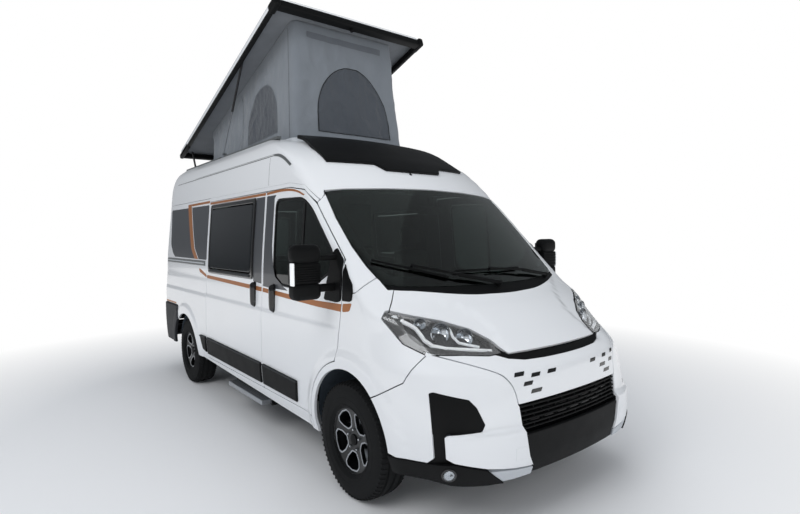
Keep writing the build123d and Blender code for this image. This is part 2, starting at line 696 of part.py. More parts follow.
def rim(x, y, side):
    """A wheel: barrel with flanges, five pairs of spokes, hub and brake disc."""
    half = RIM_W / 2
    barrel = rod_y(0, 0, -half, half, RIM_SEAT_R)
    barrel += rod_y(0, 0, -half, -half + 10, RIM_FLANGE_R) + rod_y(0, 0, half - 10, half, RIM_FLANGE_R)
    barrel -= rod_y(0, 0, -half - 1, half + 1, RIM_SEAT_R - 10)
    y_out = half - 22
    face = rod_y(0, 0, y_out - DISH_T, y_out + 4, HUB_R + 14)
    for number in range(SPOKE_PAIRS):
        for hand in (1, -1):
            spoke = box(-SPOKE_W / 2, SPOKE_W / 2, y_out - DISH_T, y_out, HUB_R - 10, RIM_SEAT_R - 5)
            foot = Pos(0, 0, HUB_R - 10) * Rot(0, hand * SPOKE_SPREAD, 0) * Pos(0, 0, 10 - HUB_R)
            turn = Rot(0, 90 + number * 360 / SPOKE_PAIRS, 0)
            face += turn * foot * Pos(hand * 14, 0, 0) * spoke
    face = face & rod_y(0, 0, -half, half, RIM_SEAT_R - 2)
    hub = rod_y(0, 0, -28, y_out - DISH_T + 2, HUB_R)
    disc = rod_y(0, 0, -32, -8, DISC_R)
    wheel = barrel + face + hub + disc
    for number in range(BOLT_COUNT):
        angle = math.radians(90 + number * 360 / BOLT_COUNT)
        bx, bz = BOLT_PCD / 2 * math.cos(angle), BOLT_PCD / 2 * math.sin(angle)
        wheel -= rod_y(bx, bz, y_out - 8, y_out + 10, 13)
        wheel += rod_y(bx, bz, y_out - 9, y_out + 6, 9)
    bore_end = 950 - TRACK_FRONT / 2 + FIT
    wheel -= rod_y(0, 0, -40, bore_end, STUB_R + FIT)
    if side < 0:
        wheel = wheel.mirror(Plane.XZ)
    return Pos(x, y, AXLE_Z) * wheel


WHEELS = (
    ("front_left", FRONT_AXLE_X, TRACK_FRONT / 2, 1),
    ("front_right", FRONT_AXLE_X, -TRACK_FRONT / 2, -1),
    ("rear_left", REAR_AXLE_X, TRACK_REAR / 2, 1),
    ("rear_right", REAR_AXLE_X, -TRACK_REAR / 2, -1),
)

# ---------------------------------------------------------------- heavy and low pieces
engine = box(1800, 2330, -330, 330, 290, 960)
radiator = box(2480, 2530, -380, 380, RAIL_Z[1] - 15, 880)
fuel_tank = box(-600, 250, -390, -60, FLOOR_Z - 230, FLOOR_Z)
waste_tank = box(-600, 250, 60, 390, FLOOR_Z - 200, FLOOR_Z)
silencer = box(-1500, -1050, -360, -160, FLOOR_Z - 150, FLOOR_Z - 30)
silencer = fillet(silencer.edges().filter_by(Axis.X), 40)
for x in (-1400, -1160):
    silencer += box(x - 12, x + 12, -272, -248, FLOOR_Z - 31, FLOOR_Z)

# ---------------------------------------------------------------- cab and living space
SEAT_X = (640, 1130)
SEAT_Y = 420                # middle of each cab seat from the middle of the van
SEAT_HALF = 245
CUSHION_Z = (830, 960)


def cab_seat(side):
    """A cab seat: base, cushion, back and head rest."""
    y0, y1 = side * (SEAT_Y - SEAT_HALF), side * (SEAT_Y + SEAT_HALF)
    base = box(SEAT_X[0] + 60, SEAT_X[1] - 60, side * (SEAT_Y - 180), side * (SEAT_Y + 180),
               FLOOR_TOP, CUSHION_Z[0])
    cushion = box(*SEAT_X, y0, y1, *CUSHION_Z)
    lean = [(640, 960), (760, 960), (690, 1560), (590, 1560)]
    back = side_prism(lean, y0, y1)
    rest = box(585, 675, side * (SEAT_Y - 130), side * (SEAT_Y + 130), 1560, 1750)
    return base + cushion + back + rest


seats = [cab_seat(1), cab_seat(-1)]
seats.append(box(-560, -60, 330, 900, FLOOR_TOP, 960) + box(-680, -560, 330, 900, FLOOR_TOP, 1560))

DASH = [
    (1390, 900), (1330, 1040), (1360, 1150), (1450, 1190), (FIREWALL_X, 1205 + FIT),
    (1900, 1205 + FIT), (1900, 1240), (1500, 1240), (1300, 1185), (1270, 1040), (1340, 860),
    (FIREWALL_X, 860), (FIREWALL_X, 900),
]
dashboard = side_prism(DASH, -905, 905) & hull(SKIN + FIT)
for space in liner_spaces[:2]:
    dashboard -= space

WHEEL_PLACE = (1130, SEAT_Y, 1215)
WHEEL_TILT = 38             # lean of the steering wheel from level
steering_plane = Pos(*WHEEL_PLACE) * Rot(0, -WHEEL_TILT, 0)
steering_wheel = Torus(185, 15) + Pos(0, 0, -30) * Cylinder(55, 40)
for angle in (0, 180, 270):
    steering_wheel += Rot(0, 0, angle) * Pos(98, 0, -14) * Box(180, 34, 14)
steering_wheel += Pos(0, 0, -110) * Cylinder(14, 130)
steering_wheel = steering_plane * steering_wheel
column = steering_plane * (Pos(0, 0, -240) * Cylinder(34, 260))
column -= steering_plane * (Pos(0, 0, -110) * Cylinder(14 + FIT, 130 + 2 * FIT))
dashboard += column & box(0, FIREWALL_X, 0, 1000, 800, 2000)

kitchen = box(-1030, 60, -880, -420, FLOOR_TOP, 1440)
washroom = box(-1180, -700, 250, 890, FLOOR_TOP, 2050)
bed = box(-2560, -1240, -880, 880, 1000, 1120)
wardrobe = box(-1290, -1240, -880, -300, FLOOR_TOP, 1000) + box(-1290, -1240, 300, 880, FLOOR_TOP, 1000)
furniture = [kitchen, washroom, bed + wardrobe + box(-2560, -2500, -300, 300, FLOOR_TOP, 1000)]

# ---------------------------------------------------------------- entry step
STEP_X = (-386, 399)
STEP_Z = (262, 300)
STEP_TRAVEL = 230
step_housing = box(STEP_X[0] - 14, STEP_X[1] + 14, -930, -490, 246, 320)
step_housing -= box(STEP_X[0] - 4, STEP_X[1] + 4, -931, -496, STEP_Z[0] - 4, STEP_Z[1] + 4)
for x in (STEP_X[0], STEP_X[1]):
    step_housing += box(x - 14, x + 14, -700, -RAIL_Y[0], 320, RAIL_Z[0])
step_tread = box(*STEP_X, -1015, -730, *STEP_Z)
step_tread += box(STEP_X[0] + 0.3 - 4, STEP_X[0], -900, -750, STEP_Z[0], STEP_Z[1])
step_tread += box(STEP_X[1], STEP_X[1] + 4 - 0.3, -900, -750, STEP_Z[0], STEP_Z[1])

# ---------------------------------------------------------------- tail and small pieces
TAIL_LAMP = [(-2900, 905), (-2900, 1370), (-2600, 1370), (-2600, 905)]
tail_lamp_zone = side_prism(TAIL_LAMP, REAR_HINGE[1] + 49, SIDE_OUT)
tail_lamps = [(hull(-6) - hull(14)) & tail_lamp_zone]
tail_lamps.append(mirrored(tail_lamps[0]))
side_left -= tail_lamps[0]
side_right -= tail_lamps[1]

WIPER_T = 16


def wiper(pivot, tip_y, tip_z):
    """A wiper arm and blade that lie on the windscreen."""
    y0, z0 = pivot
    line = [(y0, z0 - 14), (y0, z0 + 14), (tip_y, tip_z + 10), (tip_y, tip_z - 10)]
    zone = front_prism(line if y0 < tip_y else line[::-1], 1300, 2300)
    return ((hull(-WIPER_T) - hull(GLASS_IN)) & zone) - scuttle


wipers = [wiper((-600, 1372), 20, 1410), wiper((80, 1356), 720, 1450)]

# ---------------------------------------------------------------- pop roof
RAIL_TOP = ROOF_Z + 24
CLOSED_Z = RAIL_TOP + LID_CLOSED_GAP
LID_REAR_CLOSED = (LID_REAR_OPEN[0] - LID_SHIFT, CLOSED_Z)
LID_PIVOT = (150, 12)       # from the lid's lower rear edge: along it, and up
ARM_Y = 700
ARM_T = 12
PIN_R = 6
STRUT_TOP = (2160, 55)      # gas strut's upper pivot, in the lid's own directions
STRUT_FOOT = (-1090, ROOF_Z + 51)
GAS_Y = 760
TUBE_R = 11
ROD_R = 5
TUBE_LENGTH = 540


def lid_point(rear, angle, place):
    """A point of the lid in the van's x and z, for one pose of the lid."""
    turn = math.radians(angle)
    along, up = place
    x = rear[0] + along * math.cos(turn) - up * math.sin(turn)
    z = rear[1] + along * math.sin(turn) + up * math.cos(turn)
    return (x, z)


pivot_open = lid_point(LID_REAR_OPEN, LID_ANGLE, LID_PIVOT)
pivot_closed = lid_point(LID_REAR_CLOSED, 0, LID_PIVOT)
ARM_BASE_Z = ROOF_Z + 36
open_sq = pivot_open[0] ** 2 + (pivot_open[1] - ARM_BASE_Z) ** 2
closed_sq = pivot_closed[0] ** 2 + (pivot_closed[1] - ARM_BASE_Z) ** 2
ARM_BASE = ((open_sq - closed_sq) / (2 * (pivot_open[0] - pivot_closed[0])), ARM_BASE_Z)


def lid_frame(shape):
    """Puts a piece that is drawn level, from the lid's rear edge, on the raised lid."""
    return Pos(LID_REAR_OPEN[0], 0, LID_REAR_OPEN[1]) * Rot(0, -LID_ANGLE, 0) * shape


tray = box(0, LID_LENGTH, -LID_HALF_WIDTH, LID_HALF_WIDTH, 0, LID_DEPTH)
tray = fillet(tray.edges().filter_by(Axis.Z), 45)
pocket = box(LID_SHEET, LID_LENGTH - LID_SHEET, LID_SHEET - LID_HALF_WIDTH, LID_HALF_WIDTH - LID_SHEET,
             -1, LID_DEPTH - LID_SHEET)
lid = tray - pocket
POCKET_TOP = LID_DEPTH - LID_SHEET
for side in (1, -1):
    lid += box(LID_PIVOT[0] - 25, LID_PIVOT[0] + 25, side * (ARM_Y + 9), side * (ARM_Y + 17),
               LID_PIVOT[1] - 12, POCKET_TOP)
    lid += rod_y(*LID_PIVOT, side * (ARM_Y - 9), side * (ARM_Y + 17), PIN_R)
    lid += box(STRUT_TOP[0] - 20, STRUT_TOP[0] + 20, side * (GAS_Y - 24), side * (GAS_Y - 17),
               STRUT_TOP[1] - 14, POCKET_TOP)
    lid += rod_y(*STRUT_TOP, side * (GAS_Y - 24), side * (GAS_Y + 12), PIN_R - 1)
roof_lid = lid_frame(lid)

lift_arms = []
strut_tubes = []
strut_rods = []
gas_top = lid_point(LID_REAR_OPEN, LID_ANGLE, STRUT_TOP)
gas_length = math.dist(gas_top, STRUT_FOOT)
gas_dir = ((STRUT_FOOT[0] - gas_top[0]) / gas_length, (STRUT_FOOT[1] - gas_top[1]) / gas_length)


def gas_rod(start, end, side, radius):
    """A round bar along a gas strut, between two distances from its upper pivot."""
    ends = []
    for distance in (start, end):
        x = gas_top[0] + gas_dir[0] * distance
        ends.append((x, side * GAS_Y, gas_top[1] + gas_dir[1] * distance))
    return rod_between(*ends, radius)


for side in (1, -1):
    arm = flat_bar(ARM_BASE, pivot_open, 34, side * (ARM_Y - ARM_T / 2), side * (ARM_Y + ARM_T / 2))
    for x, z in (ARM_BASE, pivot_open):
        arm -= rod_y(x, z, side * (ARM_Y - 20), side * (ARM_Y + 20), PIN_R + FIT)
    lift_arms.append(arm)
    tube = gas_rod(10, TUBE_LENGTH, side, TUBE_R)
    tube += rod_y(*gas_top, side * (GAS_Y - 10), side * (GAS_Y + 10), 13)
    tube -= rod_y(*gas_top, side * (GAS_Y - 20), side * (GAS_Y + 20), PIN_R - 1 + FIT)
    tube -= gas_rod(40, TUBE_LENGTH + 1, side, ROD_R + FIT)
    strut_tubes.append(tube)
    rod = gas_rod(TUBE_LENGTH - 30, gas_length - 8, side, ROD_R)
    rod += rod_y(*STRUT_FOOT, side * (GAS_Y - 8), side * (GAS_Y + 8), 12)
    rod -= rod_y(*STRUT_FOOT, side * (GAS_Y - 20), side * (GAS_Y + 20), PIN_R - 1 + FIT)
    strut_rods.append(rod)

# black rails on the roof beside the tent, with the brackets of the arms and struts
roof_rails = []
for side in (1, -1):
    rail = box(-2400, 300, side * 742, side * 780, ROOF_Z, RAIL_TOP)
    rail -= box(STRUT_FOOT[0] - 60, STRUT_FOOT[0] + 60, side * 730, side * 790, ROOF_Z - 1, RAIL_TOP + 1)
    bracket = box(ARM_BASE[0] - 30, ARM_BASE[0] + 30, side * (ARM_Y + 9), side * (ARM_Y + 17),
                  ROOF_Z, ARM_BASE[1] + 12)
    bracket += rod_y(*ARM_BASE, side * (ARM_Y - 9), side * (ARM_Y + 17), PIN_R)
    foot = box(STRUT_FOOT[0] - 22, STRUT_FOOT[0] + 22, side * (GAS_Y - 24), side * (GAS_Y - 17),
               ROOF_Z, STRUT_FOOT[1] + 12)
    foot += rod_y(*STRUT_FOOT, side * (GAS_Y - 24), side * (GAS_Y + 12), PIN_R - 1)
    roof_rails += [rail, bracket, foot]

# tent between the roof and the lid
TENT_BASE = (-1950, 240, 617)       # rear x, front x, half width on the roof
TENT_TOP = (600, 2822, 585, 554)    # along the lid: rear, front; half width there
CLOTH = 6


def tent_solid(inset):
    """The tent's outer or inner form, from the roof up to the lid's underside."""
    rear, front, half = TENT_BASE
    low = [(rear + inset, -half + inset), (front - inset, -half + inset),
           (front - inset, half - inset), (rear + inset, half - inset)]
    back, fore, half_back, half_fore = TENT_TOP
    high = [(back + inset, -half_back + inset), (fore - inset, -half_fore + inset),
            (fore - inset, half_fore - inset), (back + inset, half_back - inset)]
    bottom = [(x, y, ROOF_Z + FIT) for x, y in low]
    top = []
    for along, y in high:
        x, z = lid_point(LID_REAR_OPEN, LID_ANGLE, (along, POCKET_TOP - FIT))
        top.append((x, y, z))
    faces = [make_face(Polyline(*ring, close=True)) for ring in (bottom, top)]
    return loft(faces, ruled=True)


tent = tent_solid(0) - tent_solid(CLOTH)

# ---------------------------------------------------------------- files
os.makedirs("parts", exist_ok=True)
write("floor_pan", floor_pan)
write("firewall", firewall)
write("chassis_frame", chassis_frame)
write("body_side_left", side_left)
write("body_side_right", side_right)
write("roof_panel", roof)
write("roof_fairing", roof_fairing)
write("front_wings", front_wings)
write("front_bumper", front_bumper)
write("grille", grille)
write("headlamps", *headlamps)
write("rear_bumper", rear_bumper)
write("tail_lamps", *tail_lamps)
write("windscreen", windscreen)
write("scuttle", scuttle)
write("wipers", *wipers)
write("sliding_door", sliding_door)
write("living_windows", *living_windows)
write("dashboard", dashboard)
write("seats", *seats)
write("furniture", *furniture)
write("arch_liners", *liners)
write("front_subframe", subframe)
write("suspension_struts", *struts)
write("rear_axle", rear_axle)
write("leaf_springs", *springs)
write("engine", engine)
write("radiator", radiator)
write("underfloor_tanks", fuel_tank, waste_tank)
write("silencer", silencer)
write("step_housing", step_housing)
write("roof_rails", *roof_rails)
write("tent", tent)
write("step_tread", step_tread)
write("bonnet", bonnet)
write("steering_wheel", steering_wheel)
write("roof_lid", roof_lid)
write("lift_arms", *lift_arms)
write("strut_tubes", *strut_tubes)
write("strut_rods", *strut_rods)
for name, side in (("left", 1), ("right", -1)):
    write(f"cab_door_{name}", cab_door(side))
    write(f"cab_glass_{name}", cab_glass(side))
    write(f"mirror_{name}", mirror(side))
    write(f"rear_door_{name}", rear_door(side))
    write(f"rear_glass_{name}", rear_glass(side))
    write(f"knuckle_{name}", knuckle(side))
for name, x, y, side in WHEELS:
    write(f"tyre_{name}", tyre(x, y))
    write(f"rim_{name}", rim(x, y, side))
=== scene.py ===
import math

import bmesh
import bpy
import numpy as np
from mathutils import Matrix, Vector, noise
from mathutils.geometry import delaunay_2d_cdt


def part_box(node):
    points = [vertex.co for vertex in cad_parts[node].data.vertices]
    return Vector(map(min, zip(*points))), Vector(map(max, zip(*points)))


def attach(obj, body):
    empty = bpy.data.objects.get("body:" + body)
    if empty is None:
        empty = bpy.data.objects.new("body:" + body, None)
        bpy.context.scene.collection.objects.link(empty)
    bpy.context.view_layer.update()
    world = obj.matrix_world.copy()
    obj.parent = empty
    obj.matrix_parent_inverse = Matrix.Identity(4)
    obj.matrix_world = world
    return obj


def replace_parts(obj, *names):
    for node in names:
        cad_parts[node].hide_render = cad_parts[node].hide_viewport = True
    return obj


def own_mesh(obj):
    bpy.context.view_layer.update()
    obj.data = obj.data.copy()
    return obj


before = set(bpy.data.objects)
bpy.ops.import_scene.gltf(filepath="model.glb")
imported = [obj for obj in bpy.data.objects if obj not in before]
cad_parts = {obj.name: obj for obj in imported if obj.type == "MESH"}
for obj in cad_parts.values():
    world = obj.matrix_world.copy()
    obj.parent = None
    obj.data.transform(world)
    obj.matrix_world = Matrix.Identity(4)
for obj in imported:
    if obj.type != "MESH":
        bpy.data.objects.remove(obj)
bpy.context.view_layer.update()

# Camper van with a raised pop roof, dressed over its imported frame.
# Metres. +X is forward, +Y the van's left, +Z up, the origin on the ground below the middle.

# ---------------------------------------------------------------- main places
FRONT_AXLE_X = 1.741
REAR_AXLE_X = -1.709
TYRE_R = 0.372
RIM_R = 0.2032            # bead seat of a 16 inch rim
SEAM_Z = 2.085            # seam between the flank and the raised roof
ROOF_Z = 2.524
ROOF_SPLIT = 0.10         # where the roof's straight sides give way to its front
PANEL_GAP = 0.0028        # half of the gap between two panels
PANEL_ROLL = 0.0025       # radius of a panel's rolled edge
PANEL_STEP = 0.032        # spacing of the points inside a panel
SIDES = ((1, "left"), (-1, "right"))

# ---------------------------------------------------------------- node helpers


def linear(code):
    """An sRGB hex colour as the linear value that a shader takes."""
    parts = [int(code[i:i + 2], 16) / 255 for i in (1, 3, 5)]
    return [c / 12.92 if c <= 0.04045 else ((c + 0.055) / 1.055) ** 2.4 for c in parts] + [1.0]


def add(tree, kind, inputs=None, **settings):
    """Adds a node with its settings. An input is a value, or an output socket to link."""
    made = tree.nodes.new(kind)
    for key, value in settings.items():
        setattr(made, key, value)
    for key, value in (inputs or {}).items():
        if isinstance(value, bpy.types.NodeSocket):
            tree.links.new(value, made.inputs[key])
        else:
            made.inputs[key].default_value = value
    return made


def fresh_tree(owner):
    """An empty node tree for a material or a world."""
    owner.use_nodes = True
    owner.node_tree.nodes.clear()
    return owner.node_tree


def surface(name, colour, roughness, second=None, patch_mm=80.0, grain_mm=0.0, grain=0.0, **sockets):
    """A Principled surface: two close tones in soft patches, a fine grain, and its own sockets."""
    made = bpy.data.materials.new(name)
    tree = fresh_tree(made)
    place = add(tree, "ShaderNodeTexCoord").outputs["Object"]
    patches = add(tree, "ShaderNodeTexNoise", {"Vector": place, "Scale": 1000 / patch_mm, "Detail": 4.0})
    tones = add(tree, "ShaderNodeMix", {"Factor": patches.outputs["Fac"], "A": linear(colour),
                                        "B": linear(second or colour)}, data_type="RGBA")
    gloss = add(tree, "ShaderNodeMapRange", {"Value": patches.outputs["Fac"], "To Min": roughness * 0.88,
                                             "To Max": min(1.0, roughness * 1.12)})
    shader = add(tree, "ShaderNodeBsdfPrincipled", {"Base Color": tones.outputs["Result"],
                                                    "Roughness": gloss.outputs["Result"]})
    for key, value in sockets.items():
        shader.inputs[key.replace("_", " ")].default_value = value
    if grain:
        fine = add(tree, "ShaderNodeTexNoise", {"Vector": place, "Scale": 1000 / grain_mm, "Detail": 3.0})
        bump = add(tree, "ShaderNodeBump", {"Height": fine.outputs["Fac"], "Distance": 0.001,
                                            "Strength": grain})
        tree.links.new(bump.outputs["Normal"], shader.inputs["Normal"])
    out = add(tree, "ShaderNodeOutputMaterial")
    tree.links.new(shader.outputs["BSDF"], out.inputs["Surface"])
    return made


def find(material, kind):
    """The material's first node of that kind."""
    return next(n for n in material.node_tree.nodes if n.bl_idname == kind)


def cloth(name, colour, second, thread_mm):
    """Woven cloth: crossing threads as bands along two directions of the surface."""
    made = surface(name, colour, 0.92, second, patch_mm=220, Sheen_Weight=0.25)
    tree = made.node_tree
    place = find(made, "ShaderNodeTexCoord").outputs["Object"]
    heights = []
    for direction in ("X", "Z"):
        band = add(tree, "ShaderNodeTexWave", {"Vector": place, "Scale": 157 / thread_mm, "Distortion": 0.6},
                   bands_direction=direction)
        heights.append(band.outputs["Fac"])
    weave = add(tree, "ShaderNodeMath", {0: heights[0], 1: heights[1]}, operation="ADD")
    bump = add(tree, "ShaderNodeBump", {"Height": weave.outputs["Value"], "Distance": 0.0006,
                                        "Strength": 0.5})
    tree.links.new(bump.outputs["Normal"], find(made, "ShaderNodeBsdfPrincipled").inputs["Normal"])
    return made


# ---------------------------------------------------------------- finishes
# baked two-coat body enamel: hard white under a clear coat, with a faint orange peel
WHITE = surface("white_body_enamel", "#E6E8EB", 0.32, "#E2E5E9", patch_mm=900, grain_mm=9, grain=0.03,
                Coat_Weight=0.7, Coat_Roughness=0.06)
# cast vinyl film in anthracite: thin, smooth, half gloss
FILM = surface("anthracite_film", "#3B3E43", 0.34, "#42454A", patch_mm=600, Coat_Weight=0.25)
# metallic copper vinyl film: warm, with a soft flake sheen
COPPER = surface("copper_film", "#A4683F", 0.42, "#B0754A", patch_mm=12, Metallic=0.35)
# black body enamel and piano-black trim: deep gloss
GLOSS_BLACK = surface("gloss_black_trim", "#0B0C0D", 0.22, "#101113", patch_mm=400, grain_mm=12,
                      grain=0.04, Coat_Weight=0.6, Coat_Roughness=0.08)
# moulded polypropylene, left grained: matt, with a leathery texture drawn coarse enough to show
BLACK_PP = surface("grained_polypropylene", "#090A0B", 0.6, "#0D0E0F", patch_mm=90, grain_mm=3, grain=0.35,
                   Specular_IOR_Level=0.22)
# bumper polypropylene, grained and weathered: dull grey, a little paler than the black
GREY_PP = surface("grey_bumper_polypropylene", "#26282C", 0.6, "#2C2F33", patch_mm=90, grain_mm=3, grain=0.3,
                  Specular_IOR_Level=0.35)
# fairing of painted glass fibre: black, half matt
FAIRING = surface("satin_black_glass_fibre", "#08090A", 0.5, "#0B0C0D", patch_mm=300, grain_mm=6, grain=0.06,
                  Specular_IOR_Level=0.2)
# pressed lining board and felt inside the doors and walls: dark, dull
LINING = surface("dark_lining_felt", "#2A2C2F", 0.95, "#232528", patch_mm=60, grain_mm=4, grain=0.4)
# drawn aluminium rail with a grey coat: half matt, a soft metal sheen
RAIL_GREY = surface("grey_rail_extrusion", "#7B7F80", 0.42, "#6C7072", patch_mm=60, grain_mm=2, grain=0.1,
                    Metallic=0.5)
# pale moulded ABS: even, half gloss
PALE_PP = surface("pale_grey_abs", "#BFC4C9", 0.45, "#B7BCC2", patch_mm=120, grain_mm=3, grain=0.1)
# felted arch liner: fuzzy, takes the light away
LINER = surface("felted_liner", "#4D5862", 0.95, "#3E4852", patch_mm=40, grain_mm=5, grain=0.6)
# rubber seal: near black, no gloss, a dark line round each pane
EPDM = surface("epdm_seal", "#0F1011", 0.78, "#151617", patch_mm=30)
# laminated and tempered glass: a faint green tint under a mirror-smooth face
GLASS = surface("tinted_safety_glass", "#525C59", 0.02, IOR=1.52, Transmission_Weight=1.0)
GLASS_THIN = surface("cab_side_glass", "#4A5553", 0.02, IOR=1.45, Transmission_Weight=1.0)
# stretched acrylic of a hinged caravan window: very dark, slightly wavy
ACRYLIC = surface("dark_stretched_acrylic", "#15181B", 0.06, "#1A1E22", patch_mm=500, grain_mm=160,
                  grain=0.25, IOR=1.49, Specular_IOR_Level=0.9)
# clear moulded polycarbonate: sharp highlights with the lamp's inside showing through
LENS = surface("polycarbonate_lens", "#F4F6F8", 0.03, IOR=1.58, Transmission_Weight=1.0)
# frosted light guide: white, with a faint glow of its own
LIGHT_BAR = surface("frosted_light_guide", "#F3F5F7", 0.3, Emission_Strength=0.12)
find(LIGHT_BAR, "ShaderNodeBsdfPrincipled").inputs["Emission Color"].default_value = (1, 1, 1, 1)
# vacuum chrome on a reflector: a clear mirror
CHROME = surface("vacuum_chrome", "#D4D7DA", 0.1, "#C9CDD1", patch_mm=60, Metallic=1.0)
# satin lamp housing: dark, so that the reflectors stand out
BEZEL = surface("satin_lamp_bezel", "#1C1E21", 0.45, "#26292C", patch_mm=50, Metallic=0.25)
# red acrylic lens: deep colour under a wet gloss
RED_LENS = surface("red_lamp_acrylic", "#8E1216", 0.12, "#7C0D11", patch_mm=40, Coat_Weight=0.8)
# amber acrylic lens: warm, under a wet gloss
AMBER = surface("amber_lamp_acrylic", "#D77A2C", 0.15, "#C96C20", patch_mm=30, Coat_Weight=0.6)
# tyre rubber: carbon black, dry, a little dusty
RUBBER = surface("tyre_rubber", "#131415", 0.85, "#191A1B", patch_mm=60, grain_mm=2, grain=0.35,
                 Specular_IOR_Level=0.3)
# lacquered alloy: black, smooth, half gloss
ALLOY_BLACK = surface("black_lacquered_alloy", "#08090A", 0.3, "#0C0D0E", patch_mm=60, Coat_Weight=0.3,
                      Specular_IOR_Level=0.35)
# face of the alloy turned with a diamond tool after painting: bright, finely ringed
ALLOY_CUT = surface("diamond_cut_alloy", "#BFC2C6", 0.28, "#AEB2B6", patch_mm=5, Metallic=1.0)
# anodised aluminium: pale, brushed, soft highlights
ALUMINIUM = surface("anodised_aluminium", "#B4B8BC", 0.38, "#A5A9AE", patch_mm=25, grain_mm=1.5, grain=0.1,
                    Metallic=0.9)
# zinc plated steel: bluish grey, with a patchy shine
STEEL = surface("zinc_plated_steel", "#8E9296", 0.35, "#7F8387", patch_mm=20, Metallic=1.0)
# chassis steel under wax: black brown, dull, uneven
DARK_STEEL = surface("wax_coated_chassis_steel", "#17181A", 0.6, "#212224", patch_mm=70, grain_mm=4,
                     grain=0.3)
# cast iron: rough, dark, hardly shining
CAST = surface("cast_iron", "#2E2F31", 0.7, "#3A3A3B", patch_mm=30, grain_mm=3, grain=0.5, Metallic=0.4)
# coated cotton tent cloth: dull grey, closely woven, threads drawn at 3 mm so that they show
TENT = cloth("grey_tent_cloth", "#7B8188", "#70767D", 3.0)
TENT_DARK = cloth("dark_tent_cloth", "#63686F", "#5A5F66", 3.0)
GAUZE = cloth("insect_gauze", "#4A4F56", "#42474E", 4.0)
# quilted roof lining: soft grey, no gloss
HEADLINER = surface("quilted_headliner", "#6E7276", 0.9, "#80848A", patch_mm=120, grain_mm=6, grain=0.3)
# beige seat cloth with drawn threads: warm, matt
SEAT_CLOTH = cloth("beige_seat_cloth", "#A69B8B", "#988D7D", 3.0)
# leatherette of the seat sides: grained, half matt
SEAT_DARK = surface("dark_seat_leatherette", "#3A3836", 0.5, "#433F3C", patch_mm=25, grain_mm=3, grain=0.4)
# slush-moulded dash skin: dark, soft, deeply grained
DASH_FOAM = surface("slush_moulded_dash_skin", "#1C1D20", 0.7, "#232428", patch_mm=60, grain_mm=3, grain=0.5)
# laminated oak board: brown, faintly streaked, half gloss
OAK_BOARD = surface("laminated_oak_board", "#8C7C68", 0.45, "#7B6B58", patch_mm=30, grain_mm=4, grain=0.1)

# ---------------------------------------------------------------- mesh helpers


def linked(name, data, body=None):
    """An object in the scene at the origin, which rides on a body where one is given."""
    made = bpy.data.objects.new(name, data)
    bpy.context.scene.collection.objects.link(made)
    if body:
        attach(made, body)
    return made


def new_mesh(name, material):
    """An empty mesh with its finishes."""
    mesh = bpy.data.meshes.new(name)
    for one in material if isinstance(material, tuple) else (material,):
        mesh.materials.append(one)
    return mesh


def piece(name, verts, faces, material, body="body", smooth=False, normals=None):
    """A finished mesh object at the origin that rides on a body."""
    mesh = new_mesh(name, material)
    mesh.from_pydata([tuple(v) for v in verts], [], [tuple(f) for f in faces])
    if smooth:
        mesh.polygons.foreach_set("use_smooth", [True] * len(mesh.polygons))
    if normals is not None:
        mesh.normals_split_custom_set(normals)
    return linked(name, mesh, body)


def from_bmesh(name, bm, material, body="body", angle=35.0):
    """Turns a bmesh into a piece, shaded smooth except at edges sharper than the angle."""
    bmesh.ops.remove_doubles(bm, verts=bm.verts, dist=0.00002)
    bmesh.ops.recalc_face_normals(bm, faces=bm.faces)
    mesh = new_mesh(name, material)
    for face in bm.faces:
        face.smooth = True
    for edge in bm.edges:
        if len(edge.link_faces) == 2 and edge.calc_face_angle(0) > math.radians(angle):
            edge.smooth = False
    bm.to_mesh(mesh)
    bm.free()
    return linked(name, mesh, body)


def block(bm, low, high, bevel=0.0, segments=2, turn=None):
    """Adds a box with rolled edges to a bmesh, turned by a matrix where one is given."""
    low, high = (Vector([pick(pair) for pair in zip(low, high)]) for pick in (min, max))
    made = bmesh.ops.create_cube(bm, size=1.0)["verts"]
    for v in made:
        v.co = Vector([(low[i] + high[i]) / 2 + v.co[i] * (high[i] - low[i]) for i in range(3)])
    if bevel:
        edges = {e for v in made for e in v.link_edges}
        made = bmesh.ops.bevel(bm, geom=list(edges), offset=bevel, segments=segments, profile=0.5,
                               affect="EDGES")["verts"]
        made = list({v for v in made} | {v for f in {f for v in made for f in v.link_faces} for v in f.verts})
    if turn is not None:
        for v in made:
            v.co = turn @ v.co


def blocks(name, boxes, material, body="body", angle=35.0, turn=None):
    """One piece of several rolled boxes, each two corners, a bevel and its segments."""
    bm = bmesh.new()
    for box in boxes:
        block(bm, *box, turn)
    return from_bmesh(name, bm, material, body, angle)


def bridge(bm, rings, around=False):
    """Joins rings of equal count in turn, and the last to the first when around. Gives their points."""
    rows = [[bm.verts.new(p) for p in ring] for ring in rings]
    for a, b in zip(rows, rows[1:] + rows[:1] if around else rows[1:]):
        for i in range(len(a)):
            j = (i + 1) % len(a)
            bm.faces.new((a[i], a[j], b[j], b[i]))
    return rows


def loft_rings(bm, rings):
    """Joins rings of equal count into a bar with two closed ends."""
    rows = bridge(bm, rings)
    bm.faces.new(rows[0][::-1])
    bm.faces.new(rows[-1])


def lathe(bm, profile, centre, steps):
    """Spins a closed (offset along Y, radius) profile round a line along Y."""
    cx, cy, cz = centre
    turns = (math.tau * i / steps for i in range(steps))
    bridge(bm, [[(cx + r * math.cos(a), cy + y, cz + r * math.sin(a)) for y, r in profile] for a in turns],
           True)


def turned(name, profile, centre, steps, material, body, angle, side=1):
    """A turned piece round an axle along Y, its profile's offsets counted outward on its side."""
    bm = bmesh.new()
    lathe(bm, [(side * y, r) for y, r in profile], centre, steps)
    return from_bmesh(name, bm, material, body, angle)


